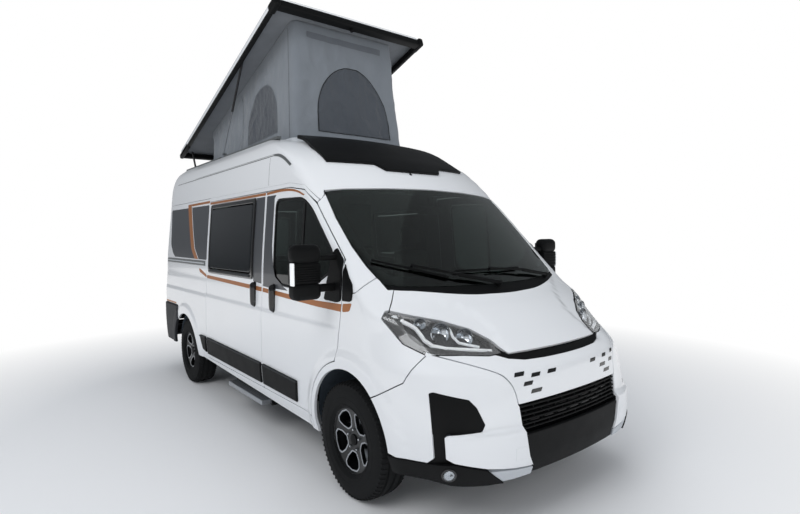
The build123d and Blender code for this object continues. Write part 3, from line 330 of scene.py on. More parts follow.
def ring_about(at, side, other, radius, sides):
    """Points of a circle in the plane of two directions."""
    turns = (math.tau * k / sides for k in range(sides))
    return [at + (side * math.cos(a) + other * math.sin(a)) * radius for a in turns]


def tube(bm, start, end, radius, sides=16):
    """A round bar between two points."""
    start, end = Vector(start), Vector(end)
    axis = (end - start).normalized()
    side = axis.orthogonal().normalized()
    other = axis.cross(side)
    loft_rings(bm, [ring_about(at, side, other, radius, sides) for at in (start, end)])


def sweep(bm, path, radius, sides=8):
    """A round bar along a polyline, without its ends pinched at the corners."""
    path = [Vector(p) for p in path]
    side = (path[1] - path[0]).orthogonal().normalized()
    rings = []
    for i, at in enumerate(path):
        ahead = (path[min(i + 1, len(path) - 1)] - path[max(i - 1, 0)]).normalized()
        side = (side - ahead * side.dot(ahead)).normalized()
        other = ahead.cross(side)
        rings.append(ring_about(at, side, other, radius, sides))
    loft_rings(bm, rings)


# ---------------------------------------------------------------- body envelope
# height, nose x, nose arc radius, half width, corner arc radius, rear x
ROWS = np.array([
    (0.330, 2.702, 4.000, 0.985, 0.560, -2.690),
    (0.430, 2.722, 4.200, 1.008, 0.580, -2.690),
    (0.580, 2.724, 4.200, 1.020, 0.600, -2.690),
    (0.730, 2.712, 3.800, 1.025, 0.620, -2.690),
    (0.890, 2.690, 3.000, 1.025, 0.660, -2.690),
    (0.990, 2.592, 2.600, 1.025, 0.640, -2.690),
    (1.100, 2.452, 2.300, 1.022, 0.500, -2.686),
    (1.200, 2.315, 2.300, 1.018, 0.230, -2.683),
    (1.270, 2.205, 2.200, 1.013, 0.120, -2.680),
    (1.400, 2.061, 2.200, 1.008, 0.110, -2.675),
    (2.020, 1.400, 2.300, 0.958, 0.110, -2.630),
    (2.250, 1.130, 2.200, 0.940, 0.130, -2.607),
    (2.350, 0.960, 2.100, 0.922, 0.150, -2.587),
    (2.450, 0.720, 2.000, 0.880, 0.170, -2.555),
    (ROOF_Z, 0.430, 2.000, 0.800, 0.170, -2.490),
])
REAR_CORNER = 0.170
FRONT_POLE = 1.0          # the charts of the front end, the roof and the tail turn about these x
ROOF_POLE = -0.6
REAR_POLE = -1.9


def row_slopes():
    """Slopes that keep each column of the table smooth without overshoot."""
    step = np.diff(ROWS[:, 0])[:, None]
    rise = np.diff(ROWS[:, 1:], axis=0) / step
    slopes = np.zeros_like(ROWS[:, 1:])
    slopes[0], slopes[-1] = rise[0], rise[-1]
    same = rise[:-1] * rise[1:] > 0
    with np.errstate(divide="ignore", invalid="ignore"):
        mean = 2 / (1 / rise[:-1] + 1 / rise[1:])
    slopes[1:-1] = np.where(same, mean, 0)
    return slopes


SLOPES = row_slopes()


def rows_at(z):
    """The envelope's sizes at each height, smoothly between the rows."""
    z = np.clip(np.atleast_1d(z), ROWS[0, 0], ROWS[-1, 0])
    i = np.clip(np.searchsorted(ROWS[:, 0], z, side="right") - 1, 0, len(ROWS) - 2)
    span = ROWS[i + 1, 0] - ROWS[i, 0]
    t = ((z - ROWS[i, 0]) / span)[:, None]
    span = span[:, None]
    a, b = ROWS[i, 1:], ROWS[i + 1, 1:]
    return (a * (1 + 2 * t) * (1 - t) ** 2 + SLOPES[i] * span * t * (1 - t) ** 2
            + b * t * t * (3 - 2 * t) + SLOPES[i + 1] * span * t * t * (t - 1)).T


def corner_of(nose_x, nose_r, half, corner_r):
    """Centre of the front corner arc, and how far out the nose arc reaches."""
    cy = half - corner_r
    reach = np.sqrt((nose_r - corner_r) ** 2 - cy ** 2)
    return nose_x - nose_r + reach, cy, nose_r * cy / (nose_r - corner_r)


def front_about(pole):
    """Chart of the front end: angle about a pole from straight ahead, and height."""
    def chart(uv):
        angle, z = uv[:, 0], uv[:, 1]
        nose_x, nose_r, half, corner_r, _ = rows_at(z)
        cx, cy, meet = corner_of(nose_x, nose_r, half, corner_r)
        dx, dy = np.cos(angle), np.abs(np.sin(angle)) + 1e-9
        ox = pole - (nose_x - nose_r)
        nose = -ox * dx + np.sqrt(np.maximum((ox * dx) ** 2 - ox ** 2 + nose_r ** 2, 0))
        px, py = pole - cx, -cy
        turn = px * dx + py * dy
        corner = -turn + np.sqrt(np.maximum(turn ** 2 - px ** 2 - py ** 2 + corner_r ** 2, 0))
        side = half / dy
        reach = np.where((dx > 0) & (nose * dy <= meet), nose,
                         np.where(pole + side * dx <= cx, side, corner))
        return np.stack([pole + reach * dx, reach * np.sin(angle), z], axis=1)
    return chart


def rear(uv):
    """Chart of the tail: angle about the pole from straight back, and height."""
    angle, z = uv[:, 0], uv[:, 1]
    _, _, half, _, rear_x = rows_at(z)
    cx, cy = rear_x + REAR_CORNER, half - REAR_CORNER
    dx, dy = -np.cos(angle), np.abs(np.sin(angle)) + 1e-9
    back = (REAR_POLE - rear_x) / np.maximum(-dx, 1e-9)
    px, py = REAR_POLE - cx, -cy
    turn = px * dx + py * dy
    corner = -turn + np.sqrt(np.maximum(turn ** 2 - px ** 2 - py ** 2 + REAR_CORNER ** 2, 0))
    side = half / dy
    reach = np.where((dx < 0) & (back * dy <= cy), back,
                     np.where(REAR_POLE + side * dx >= cx, side, corner))
    return np.stack([REAR_POLE + reach * dx, reach * np.sin(angle), z], axis=1)


def side_y(x, z):
    """Half the width of the body at a place along it, at a height."""
    x = np.atleast_1d(x)
    nose_x, nose_r, half, corner_r, rear_x = rows_at(z)
    cx, cy, meet = corner_of(nose_x, nose_r, half, corner_r)
    corner = cy + np.sqrt(np.maximum(corner_r ** 2 - (x - cx) ** 2, 0))
    nose = np.sqrt(np.maximum(nose_r ** 2 - (x - nose_x + nose_r) ** 2, 0))
    ahead = np.where(nose < meet, nose, corner)
    back = half - REAR_CORNER + np.sqrt(np.maximum(REAR_CORNER ** 2 - (rear_x + REAR_CORNER - x) ** 2, 0))
    return np.where(x > cx, ahead, np.where(x < rear_x + REAR_CORNER, back, half))


def front_x(y, z):
    """How far forward the body reaches at a distance from its middle, at a height."""
    y = np.abs(np.atleast_1d(y))
    nose_x, nose_r, half, corner_r, _ = rows_at(z)
    cx, cy, meet = corner_of(nose_x, nose_r, half, corner_r)
    nose = nose_x - nose_r + np.sqrt(np.maximum(nose_r ** 2 - y ** 2, 0))
    corner = cx + np.sqrt(np.maximum(corner_r ** 2 - (y - cy) ** 2, 0))
    return np.where(y <= meet, nose, corner)


front = front_about(FRONT_POLE)
roof_chart = front_about(ROOF_POLE)
roof_chart.poles = (REAR_POLE, -0.2)


def side_chart(side):
    """Chart of one flank: place along the van, and height."""
    return lambda uv: np.stack([uv[:, 0], side * side_y(uv[:, 0], uv[:, 1]), uv[:, 1]], axis=1)


def on_front(x, y, z, pole=FRONT_POLE):
    """Front chart place of a point of the envelope."""
    return (math.atan2(y, x - pole), z)


def ahead(y, z, pole=FRONT_POLE):
    """Front chart place of a point seen from the front."""
    return on_front(float(front_x(y, z)[0]), y, z, pole)


def beside(side, x, z, pole=FRONT_POLE):
    """Front chart place of a point seen from the side."""
    return on_front(x, side * float(side_y(x, z)[0]), z, pole)


def above(x, y):
    """Front chart place of a point of the bonnet or lamps seen from above."""
    low, high = 0.6, 2.3
    for _ in range(30):
        z = (low + high) / 2
        low, high = (z, high) if front_x(y, z)[0] > x else (low, z)
    return on_front(x, y, low)


def behind(side, x, z):
    """Rear chart place of a point of the flank or rear corner seen from the side."""
    return (math.atan2(side * float(side_y(x, z)[0]), REAR_POLE - x), z)


def at_rear(y, z):
    """Rear chart place of a point seen from behind."""
    _, _, half, _, rear_x = rows_at(z)
    cy = half[0] - REAR_CORNER
    x = rear_x[0]
    if abs(y) > cy:
        x += REAR_CORNER - math.sqrt(max(REAR_CORNER ** 2 - (abs(y) - cy) ** 2, 0))
    return (math.atan2(y, REAR_POLE - x), z)


# ---------------------------------------------------------------- panels


def rect(left, low, right, high):
    """The four corners of an upright rectangle."""
    return [(left, low), (right, low), (right, high), (left, high)]


def rounded(points, radius=0.0, step=0.03):
    """A closed outline with its corners rounded and its runs divided."""
    out = []
    count = len(points)
    for i in range(count):
        before, at, after = (Vector(points[k % count]) for k in (i - 1, i, i + 1))
        back, on = before - at, after - at
        reach = min(radius, back.length * 0.45, on.length * 0.45)
        if reach < 1e-5 or abs(back.angle(on, math.pi) - math.pi) < 0.02:
            out.append(at)
            continue
        a, b = at + back.normalized() * reach, at + on.normalized() * reach
        for k in range(6):
            t = k / 5
            out.append(a * (1 - t) ** 2 + at * 2 * t * (1 - t) + b * t * t)
    divided = []
    for a, b in zip(out, out[1:] + out[:1]):
        parts = max(1, int((b - a).length / step))
        divided += [a + (b - a) * (k / parts) for k in range(parts)]
    return np.array(divided)


def shared(corners, parts):
    """A closed outline with each of its sides in equal parts."""
    return [tuple(p + (q - p) * k / parts for p, q in zip(a, b))
            for a, b in zip(corners, corners[1:] + corners[:1]) for k in range(parts)]


def divided(points, step=0.04):
    """An open line with its long runs divided, so that they stay straight on a chart."""
    out = []
    for a, b in zip(points, points[1:]):
        parts = max(1, int(math.dist(a, b) / step))
        out += [tuple(p + (q - p) * k / parts for p, q in zip(a, b)) for k in range(parts)]
    return out + [points[-1]]


def bowed(points, parts=4):
    """A smooth line through the points."""
    pts = [Vector(p) for p in points]
    pts = [pts[0] * 2 - pts[1]] + pts + [pts[-1] * 2 - pts[-2]]
    out = []
    for a, b, c, d in zip(pts, pts[1:], pts[2:], pts[3:]):
        for k in range(parts):
            t = k / parts
            out.append(tuple((b * 2 + (c - a) * t + (a * 2 - b * 5 + c * 4 - d) * t ** 2
                              + (b * 3 - a - c * 3 + d) * t ** 3) / 2))
    return out + [tuple(pts[-2])]


def inside(points, loop):
    """Which points lie inside a closed loop."""
    x, y = points[:, 0][:, None], points[:, 1][:, None]
    ax, ay = loop[:, 0][None], loop[:, 1][None]
    bx, by = np.roll(loop[:, 0], -1)[None], np.roll(loop[:, 1], -1)[None]
    crosses = ((ay > y) != (by > y)) & (x < (bx - ax) * (y - ay) / (by - ay + 1e-15) + ax)
    return crosses.sum(axis=1) % 2 == 1


def chart_normals(chart, uv):
    """Outward normals of a chart at each of its places."""
    d = 0.004
    over = np.stack([uv[:, 0], np.minimum(uv[:, 1] + d, ROOF_Z)], axis=1)
    du = chart(uv + [d, 0]) - chart(uv - [d, 0])
    dv = chart(over) - chart(uv - [0, d])
    normal = np.cross(du, dv)
    normal /= np.linalg.norm(normal, axis=1)[:, None] + 1e-12
    p = chart(uv)
    middle = np.clip(p[:, 0], *getattr(chart, "poles", (REAR_POLE, FRONT_POLE)))
    out = np.stack([p[:, 0] - middle, p[:, 1], 0.15 * (p[:, 2] - 1.2)], axis=1)
    return normal * np.where((normal * out).sum(axis=1) < 0, -1, 1)[:, None]


def raised(chart, lift, shape=None):
    """The chart moved outward by a lift, and by the extra height that shape gives each point."""
    def moved(uv):
        base = chart(uv)
        rise = np.full(len(base), lift) + (shape(base) if shape else 0.0)
        return base + chart_normals(chart, uv) * rise[:, None]
    moved.poles = getattr(chart, "poles", (REAR_POLE, FRONT_POLE))
    return moved


def panel(name, chart, outline, material, body="body", holes=(), depth=0.02, lift=0.0, gap=PANEL_GAP,
          roll=PANEL_ROLL, step=PANEL_STEP, shape=None):
    """A skin panel on the body's envelope, with rolled edges, a turned-in rim and an inner face.

    lift raises it off the envelope. shape(points) gives an extra height at each point.
    """
    chart = raised(chart, lift, shape)
    loops = [np.asarray(outline)] + [np.asarray(h) for h in holes]
    low, high = loops[0].min(axis=0), loops[0].max(axis=0)
    grid = []
    for k, v in enumerate(np.arange(low[1] + step / 2, high[1], step * 0.87)):
        us = np.arange(low[0] + step * (0.25 + 0.5 * (k % 2)), high[0], step)
        grid += [(u, v) for u in us]
    grid = np.array(grid).reshape(-1, 2)
    edge = np.concatenate(loops)
    if len(grid):
        keep = inside(grid, loops[0])
        for hole in loops[1:]:
            keep &= ~inside(grid, hole)
        grid = grid[keep]
    if len(grid):
        far = np.ones(len(grid), bool)
        for part in np.array_split(edge, max(1, len(edge) // 400)):
            gaps = np.linalg.norm(grid[:, None] - part[None], axis=2).min(axis=1)
            far &= gaps > step * 0.5
        grid = grid[far]
    flat = np.concatenate([edge, grid]) if len(grid) else edge
    links, start = [], 0
    for loop in loops:
        n = len(loop)
        links += [(start + i, start + (i + 1) % n) for i in range(n)]
        start += n
    verts2, _, faces, source, _, _ = delaunay_2d_cdt([Vector(p) for p in flat], links, [], 0, 1e-7)
    verts2 = np.array([tuple(v) for v in verts2])
    faces = np.array([tuple(f) for f in faces if len(f) == 3])
    middle = verts2[faces].mean(axis=1)
    keep = inside(middle, loops[0])
    for hole in loops[1:]:
        keep &= ~inside(middle, hole)
    faces = faces[keep]
    to_first = np.array([s[0] if s else -1 for s in source])
    top = chart(verts2)
    normal = chart_normals(chart, verts2)
    tri = top[faces]
    facing = (np.cross(tri[:, 1] - tri[:, 0], tri[:, 2] - tri[:, 0]) * normal[faces[:, 0]]).sum(axis=1)
    faces = np.where(facing[:, None] < 0, faces[:, ::-1], faces)
    where = {int(s): i for i, s in enumerate(to_first) if s >= 0}
    rims, start = [], 0
    for number, loop in enumerate(loops):
        ids = np.array([where.get(start + i, -1) for i in range(len(loop))])
        start += len(loop)
        ids = ids[ids >= 0]
        p, n = top[ids], normal[ids]
        along = np.roll(p, -1, axis=0) - np.roll(p, 1, axis=0)
        along /= np.linalg.norm(along, axis=1)[:, None] + 1e-12
        out = np.cross(along, n)
        nxt = np.roll(verts2[ids], -1, axis=0)
        area = (verts2[ids][:, 0] * nxt[:, 1] - nxt[:, 0] * verts2[ids][:, 1]).sum()
        hand = np.sign(np.median((np.cross(*chart_frame(chart, verts2[ids])) * n).sum(axis=1)))
        sign = np.sign(area) * hand * (1 if number == 0 else -1)
        rims.append((ids, out * sign))
    verts = list(top)
    loop_faces, loop_normals = [], []
    for ids, out in rims:
        for i, k in enumerate(ids):
            verts[k] = top[k] - out[i] * (gap + roll)
    for face in faces:
        loop_faces.append(list(face))
        loop_normals += [normal[k] for k in face]
    base_count = len(verts)
    verts += [top[i] - normal[i] * depth for i in range(base_count)]
    for ids, out in rims:
        for i, k in enumerate(ids):
            verts[base_count + k] = top[k] - out[i] * gap - normal[k] * depth
    for face in faces:
        loop_faces.append([base_count + k for k in face[::-1]])
        loop_normals += [-normal[k] for k in face[::-1]]
    for ids, out in rims:
        first = len(verts)
        count = len(ids)
        for i, k in enumerate(ids):
            verts.append(top[k] - out[i] * gap - normal[k] * roll)
        for i in range(count):
            j = (i + 1) % count
            a, b = ids[i], ids[j]
            quad = [a, first + i, first + j, b]
            low_quad = [first + i, base_count + a, base_count + b, first + j]
            q = np.array([verts[v] for v in quad])
            if (np.cross(q[1] - q[0], q[2] - q[0]) * (out[i] + normal[a])).sum() < 0:
                quad, low_quad = quad[::-1], low_quad[::-1]
            side_of = {a: normal[a], b: normal[b], first + i: out[i], first + j: out[j],
                       base_count + a: out[i], base_count + b: out[j]}
            loop_faces += [quad, low_quad]
            loop_normals += [side_of[v] for v in quad]
            loop_normals += [side_of[v] for v in low_quad]
    made = piece(name, verts, loop_faces, (material, LINING) if material is WHITE else material, body,
                 smooth=True, normals=[tuple(n) for n in loop_normals])
    if material is WHITE:
        half = len(faces)
        made.data.polygons.foreach_set("material_index", [int(half <= i < 2 * half)
                                                          for i in range(len(loop_faces))])
    return made


def chart_frame(chart, uv):
    """The two directions of a chart at each of its places."""
    d = 0.004
    return chart(uv + [d, 0]) - chart(uv - [d, 0]), chart(uv + [0, d]) - chart(uv - [0, d])


def overlay(name, chart, outline, radius, material, body="body", **sizes):
    """A thin piece laid on the skin, which meets its neighbours without a gap."""
    return panel(name, chart, rounded(outline, radius), material, body, gap=0.0, **sizes)


# ---------------------------------------------------------------- pressed shapes of the skin


def ease(t):
    """Smooth step from 0 to 1."""
    t = np.clip(t, 0, 1)
    return t * t * (3 - 2 * t)


def pressing(p):
    """Wheel arch flares, the flank's crease, the bumper's bulge and the bonnet's dome."""
    x, a, z = p[:, 0], np.abs(p[:, 1]), p[:, 2]
    flank = ease((a - 0.80) / 0.10)
    flare = 0.017 * ease((0.555 - np.hypot(x - 1.765, z - 0.42)) / 0.075) * flank
    flare = np.maximum(flare, 0.014 * ease((0.585 - np.hypot(x + 1.715, z - 0.36)) / 0.075) * flank)
    crease = 0.007 * ease((1.092 - z) / 0.035) * flank * ease((1.78 - x) / 0.3)
    bulge = 0.029 * ease((0.622 - z) / 0.022) * ease((x - 2.40) / 0.12) * ease((a - 0.40) / 0.01)
    edge = np.interp(x, [1.95, 2.22, 2.37, 2.53, 2.7], [0.80, 0.50, 0.40, 0.44, 0.44])
    dome = 0.012 * ease((edge - a) / 0.05 + 0.5) * ease((x - 1.9) / 0.2) * ease((z - 0.93) / 0.06)
    dome *= z < 1.36
    return flare + crease + bulge + dome


def arc(cx, cz, radius, start, end, count=14):
    """Points of an arc seen from the side, by its angles in degrees."""
    return [(cx + radius * math.cos(math.radians(a)), cz + radius * math.sin(math.radians(a)))
            for a in np.linspace(start, end, count)]


def y_neg(p):
    """The chart place on the other side of the van."""
    return (-p[0], p[1])


def sill_z(x):
    """Height of the body's lower edge along the van."""
    return 0.318 + (1.375 - x) * 0.127 / 4.125


FRONT_ARCH = (1.761, 0.42, 0.414)
REAR_ARCH = (-1.715, 0.36, 0.44)
DOOR_ARCH = arc(1.765, 0.42, 0.468, 105, 176, 12)       # the cab door's edge round the wheel
DOOR_SPLIT = 0.455
QUARTER_SPLIT = -0.965
CAB_DOOR = ([(DOOR_SPLIT, 0.425), (DOOR_SPLIT, 2.048), (0.88, 2.05), (1.12, 2.015), (1.29, 1.91),
             (1.69, 1.524), (1.70, 1.40), (1.69, 1.208)] + DOOR_ARCH + [(1.30, 0.425)])
CAB_WINDOW = [(0.655, 1.32), (0.642, 1.975), (1.105, 1.962), (1.25, 1.88), (1.585, 1.56), (1.56, 1.44),
              (1.25, 1.295), (0.85, 1.295)]
REAR_DOOR_HALF = 0.86
SEAL_PAD = 0.016          # width of the seal round a pane
PANE_SUNK = 0.008         # a pane lies this far below the skin
PANE_THICK = 0.0045


def grown(points, by):
    """A closed outline moved outward by a distance, inward when negative."""
    pts = [Vector(p) for p in points]
    area = sum(a.x * b.y - b.x * a.y for a, b in zip(pts, pts[1:] + pts[:1]))
    sign = 1 if area > 0 else -1
    out = []
    for i, at in enumerate(pts):
        a = (at - pts[i - 1]).normalized()
        b = (pts[(i + 1) % len(pts)] - at).normalized()
        na, nb = Vector((a.y, -a.x)) * sign, Vector((b.y, -b.x)) * sign
        mid = (na + nb).normalized()
        out.append(tuple(at + mid * by / max(0.35, mid.dot(na))))
    return out


def window(name, chart, outline, radius, body, glass):
    """A pane in a rubber seal, sunk below the skin."""
    ring = rounded(grown(outline, -0.001), radius, 0.04)
    pane = rounded(grown(outline, -SEAL_PAD), max(0.01, radius - SEAL_PAD * 0.6), 0.04)
    panel(name + "_seal", chart, ring, EPDM, body, holes=[pane], depth=0.014, lift=-0.001, gap=0.0,
          step=0.05)
    panel(name + "_pane", chart, rounded(grown(outline, -SEAL_PAD + 0.004), radius, 0.04), glass, body,
          depth=PANE_THICK, lift=-PANE_SUNK, gap=0.0, roll=0.0012, step=0.05)


def body_sides():
    """Cab doors, sliding door, left flank, quarters, sills and pillars."""
    for side, word in SIDES:
        flank = side_chart(side)
        door = f"cab_door_{word}"
        panel(door + "_skin", flank, rounded(CAB_DOOR, 0.03), WHITE, door, shape=pressing,
              holes=[rounded(CAB_WINDOW, 0.075)])
        window(door + "_window", flank, CAB_WINDOW, 0.075, door, GLASS_THIN)
        panel(f"sill_{word}", flank, rounded([(1.30, 0.425), (1.30, sill_z(1.30)), (-0.965, sill_z(-0.965)),
                                              (-0.965, 0.425)], 0.004), WHITE, shape=pressing)
        # quarter panel: from the split round the rear corner to the rear door
        lip = arc(*REAR_ARCH, 6, 128, 18)
        quarter = ([behind(side, x, z) for x, z in divided(
            [(QUARTER_SPLIT, 2.085), (QUARTER_SPLIT, sill_z(-0.965)), (-1.276, sill_z(-1.276))]) + lip
            + divided([(-1.985, 0.77), (-2.02, 0.875), (-2.46, 0.875)])]
                   + [at_rear(side * y, z) for y, z in divided(
                       [(REAR_DOOR_HALF + 0.03, 0.875), (REAR_DOOR_HALF, 0.875), (REAR_DOOR_HALF, 2.06),
                        (0.92, 2.085)])]
                   + [behind(side, -2.45, 2.085)])
        lamp = ([at_rear(side * y, z) for y, z in divided([(0.912, 0.905), (0.912, 1.37)])]
                + [behind(side, x, z) for x, z in divided([(-2.585, 1.37), (-2.585, 0.905)])])
        panel(f"quarter_{word}", rear, rounded(quarter, 0.006), WHITE, shape=pressing,
              holes=[rounded(lamp, 0.02)])
        panel(f"tail_lamp_{word}", rear, rounded(lamp, 0.02), RED_LENS, depth=0.03, lift=0.004)
        pillar = ([ahead(side * y, z) for y, z in divided([(0.862, 1.413), (0.883, 1.481), (0.900, 1.609),
                                                           (0.898, 1.80), (0.870, 2.002)])]
                  + [ahead(side * 0.885, 1.968)]
                  + [beside(side, x, z) for x, z in divided([(1.295, 1.932), (1.29, 1.91), (1.69, 1.524),
                                                             (1.70, 1.40), (1.70, 1.30)])]
                  + [on_front(1.841, side * 1.005, 1.325), on_front(1.874, side * 0.954, 1.372)])
        panel(f"pillar_{word}", front, rounded(pillar, 0.004), WHITE, shape=pressing)
        wing = ([beside(side, x, z) for x, z in divided([(1.70, 1.30), (1.69, 1.208)])
                 + DOOR_ARCH + [(1.30, sill_z(1.30)), (1.36, sill_z(1.36))]
                 + arc(*FRONT_ARCH, 180, 48, 24)]
                + [beside(side, x, z) for x, z in divided([(2.10, 0.757), (2.265, 0.853), (2.33, 1.0)])]
                + [above(x, side * y) for x, y in ((2.328, 0.861), (2.201, 0.925), (2.07, 0.975),
                                                   (2.06, 0.94), (2.068, 0.917), (2.016, 0.855),
                                                   (1.971, 0.804))]
                + [ahead(side * 0.84, 1.341), ahead(side * 0.848, 1.37), ahead(side * 0.862, 1.413),
                   on_front(1.874, side * 0.954, 1.372), on_front(1.841, side * 1.005, 1.325)])
        panel(f"wing_{word}", front, rounded(wing, 0.004), WHITE, shape=pressing)
    right = side_chart(-1)
    panel("slide_door_skin", right, rounded(rect(QUARTER_SPLIT, 0.425, DOOR_SPLIT, 2.048), 0.03),
          WHITE, shape=pressing, holes=[rounded(SLIDE_WINDOW, 0.03)])
    panel("side_strip_right", right, rounded([(QUARTER_SPLIT, 2.048), (QUARTER_SPLIT, 2.085),
                                              (0.88, 2.085), (1.115, 2.05), (1.29, 1.935),
                                              (1.29, 1.915), (1.12, 2.018), (0.88, 2.052)], 0.002),
          WHITE, gap=0.001, roll=0.001)
    left = side_chart(1)
    panel("flank_left", left, rounded([(QUARTER_SPLIT, 0.425), (DOOR_SPLIT, 0.425), (DOOR_SPLIT, 2.052),
                                       (DOOR_SPLIT, 2.085), (QUARTER_SPLIT, 2.085)], 0.006),
          WHITE, shape=pressing, holes=[rounded(LEFT_WINDOW, 0.05)])
    panel("side_strip_left", left, rounded([(DOOR_SPLIT, 2.052), (DOOR_SPLIT, 2.085), (0.88, 2.085),
                                            (1.115, 2.05), (1.29, 1.935), (1.29, 1.915), (1.12, 2.018),
                                            (0.88, 2.052)], 0.002), WHITE, gap=0.001, roll=0.001)


SLIDE_WINDOW = rect(-0.905, 1.318, 0.255, 2.01)
LEFT_WINDOW = rect(-0.70, 1.42, 0.25, 1.96)
REAR_WINDOW = rect(0.19, 1.40, 0.76, 1.96)


def hinged_window(name, chart, outline):
    """A caravan window: black frame, dark acrylic pane with a rolled edge, and a lower rail."""
    frame_line = rounded(outline, 0.03, 0.05)
    pane = rounded(grown(outline, -0.05), 0.035, 0.05)
    panel(name + "_frame", chart, frame_line, GLOSS_BLACK, depth=0.03, lift=0.012, roll=0.008, gap=0.0,
          holes=[rounded(grown(outline, -0.042), 0.03, 0.05)], step=0.06)
    panel(name + "_pane", chart, pane, ACRYLIC, depth=0.02, lift=0.012, roll=0.006, gap=0.0, step=0.06)
    low = min(z for _, z in outline)
    xs = [x for x, _ in outline]
    overlay(name + "_rail", chart, rect(min(xs) + 0.05, low + 0.012, max(xs) - 0.05, low + 0.034), 0.006,
            GREY_PP, depth=0.01, lift=0.02, roll=0.004)


def rear_end():
    """Rear doors with their windows, and the bumper."""
    for side, word in SIDES:
        body = f"rear_door_{word}"
        line = [at_rear(side * y, z) for y, z in divided(rect(0.0, 0.605, REAR_DOOR_HALF, 2.05), 0.08)]
        hole = [at_rear(side * y, z) for y, z in REAR_WINDOW]
        panel(body + "_skin", rear, rounded(line, 0.02), WHITE, body, holes=[rounded(hole, 0.05)],
              shape=pressing)
        window(body + "_window", rear, hole, 0.05, body, GLASS)
    half = (arc(*REAR_ARCH, 174, 129, 10)
            + divided([(-1.985, 0.767), (-2.02, 0.872), (-2.46, 0.872)]))
    notch = divided([(REAR_DOOR_HALF + 0.003, 0.872), (REAR_DOOR_HALF + 0.003, 0.599), (0.0, 0.599)], 0.08)
    bumper = [behind(1, x, z) for x, z in half] + [at_rear(y, z) for y, z in notch]
    bumper += [y_neg(p) for p in bumper[-2::-1]] + [behind(-1, -2.30, 0.40), at_rear(-0.85, 0.40),
                                                    at_rear(0.0, 0.40), at_rear(0.85, 0.40),
                                                    behind(1, -2.30, 0.40)]
    panel("rear_bumper_skin", rear, rounded(bumper, 0.012), GREY_PP, depth=0.03, lift=0.012, roll=0.01,
          shape=pressing)


BONNET = ([(2.64, 0.0), (2.64, 0.25), (2.64, 0.462), (2.459, 0.473), (2.366, 0.543), (2.256, 0.68),
           (2.155, 0.825), (2.068, 0.917), (2.016, 0.855)]
          + bowed([(1.971, 0.807), (2.056, 0.634), (2.123, 0.468), (2.172, 0.295), (2.196, 0.10),
                   (2.20, 0.0)], 3))
GLASS_EDGE = [(0.848, 1.37), (0.875, 1.481), (0.892, 1.609), (0.889, 1.80), (0.862, 2.0), (0.72, 2.016),
              (0.40, 2.028), (0.0, 2.034)]
SCREEN_FOOT = [(0.0, 1.338), (0.42, 1.343), (0.72, 1.355)]
SCUTTLE_FOOT = [(0.0, 1.235), (0.20, 1.245), (0.40, 1.262), (0.64, 1.29), (0.80, 1.325), (0.84, 1.341)]
LAMP = [(2.546, 0.47), (2.461, 0.479), (2.37, 0.548), (2.261, 0.685), (2.16, 0.83), (2.06, 0.94),
        (2.07, 0.975), (2.201, 0.925), (2.328, 0.861), (2.461, 0.695), (2.53, 0.56)]
LAMP_HOLLOW = [(2.150, 0.872), (2.150, 0.896), (2.172, 0.898), (2.212, 0.893), (2.285, 0.862), (2.338, 0.812),
               (2.40, 0.742), (2.455, 0.665), (2.505, 0.565), (2.500, 0.505), (2.455, 0.492), (2.375, 0.560),
               (2.268, 0.695), (2.175, 0.838)]
PANEL_SEAM = bowed([(0.856, 1.012), (0.70, 0.958), (0.60, 0.918), (0.553, 0.886), (0.511, 0.825),
                    (0.491, 0.731)])
VENT_INNER = [(0.907, 0.812), (0.893, 0.819), (0.761, 0.783), (0.732, 0.742), (0.702, 0.653),
              (0.718, 0.621), (0.867, 0.608), (0.875, 0.596), (0.870, 0.481), (0.839, 0.459)]


def both_sides(points, place):
    """A symmetric outline in the front chart from the half at positive Y."""
    whole = [place(1, p) for p in points]
    return whole + [place(-1, p) for p in points[::-1] if abs(p[1] if place is plan_place else p[0]) > 1e-6]


def plan_place(side, p):
    """The front chart's place of a point given along and across."""
    return above(p[0], side * p[1])


def face_place(side, p):
    """The front chart's place of a point given across and up."""
    return ahead(side * p[0], p[1])


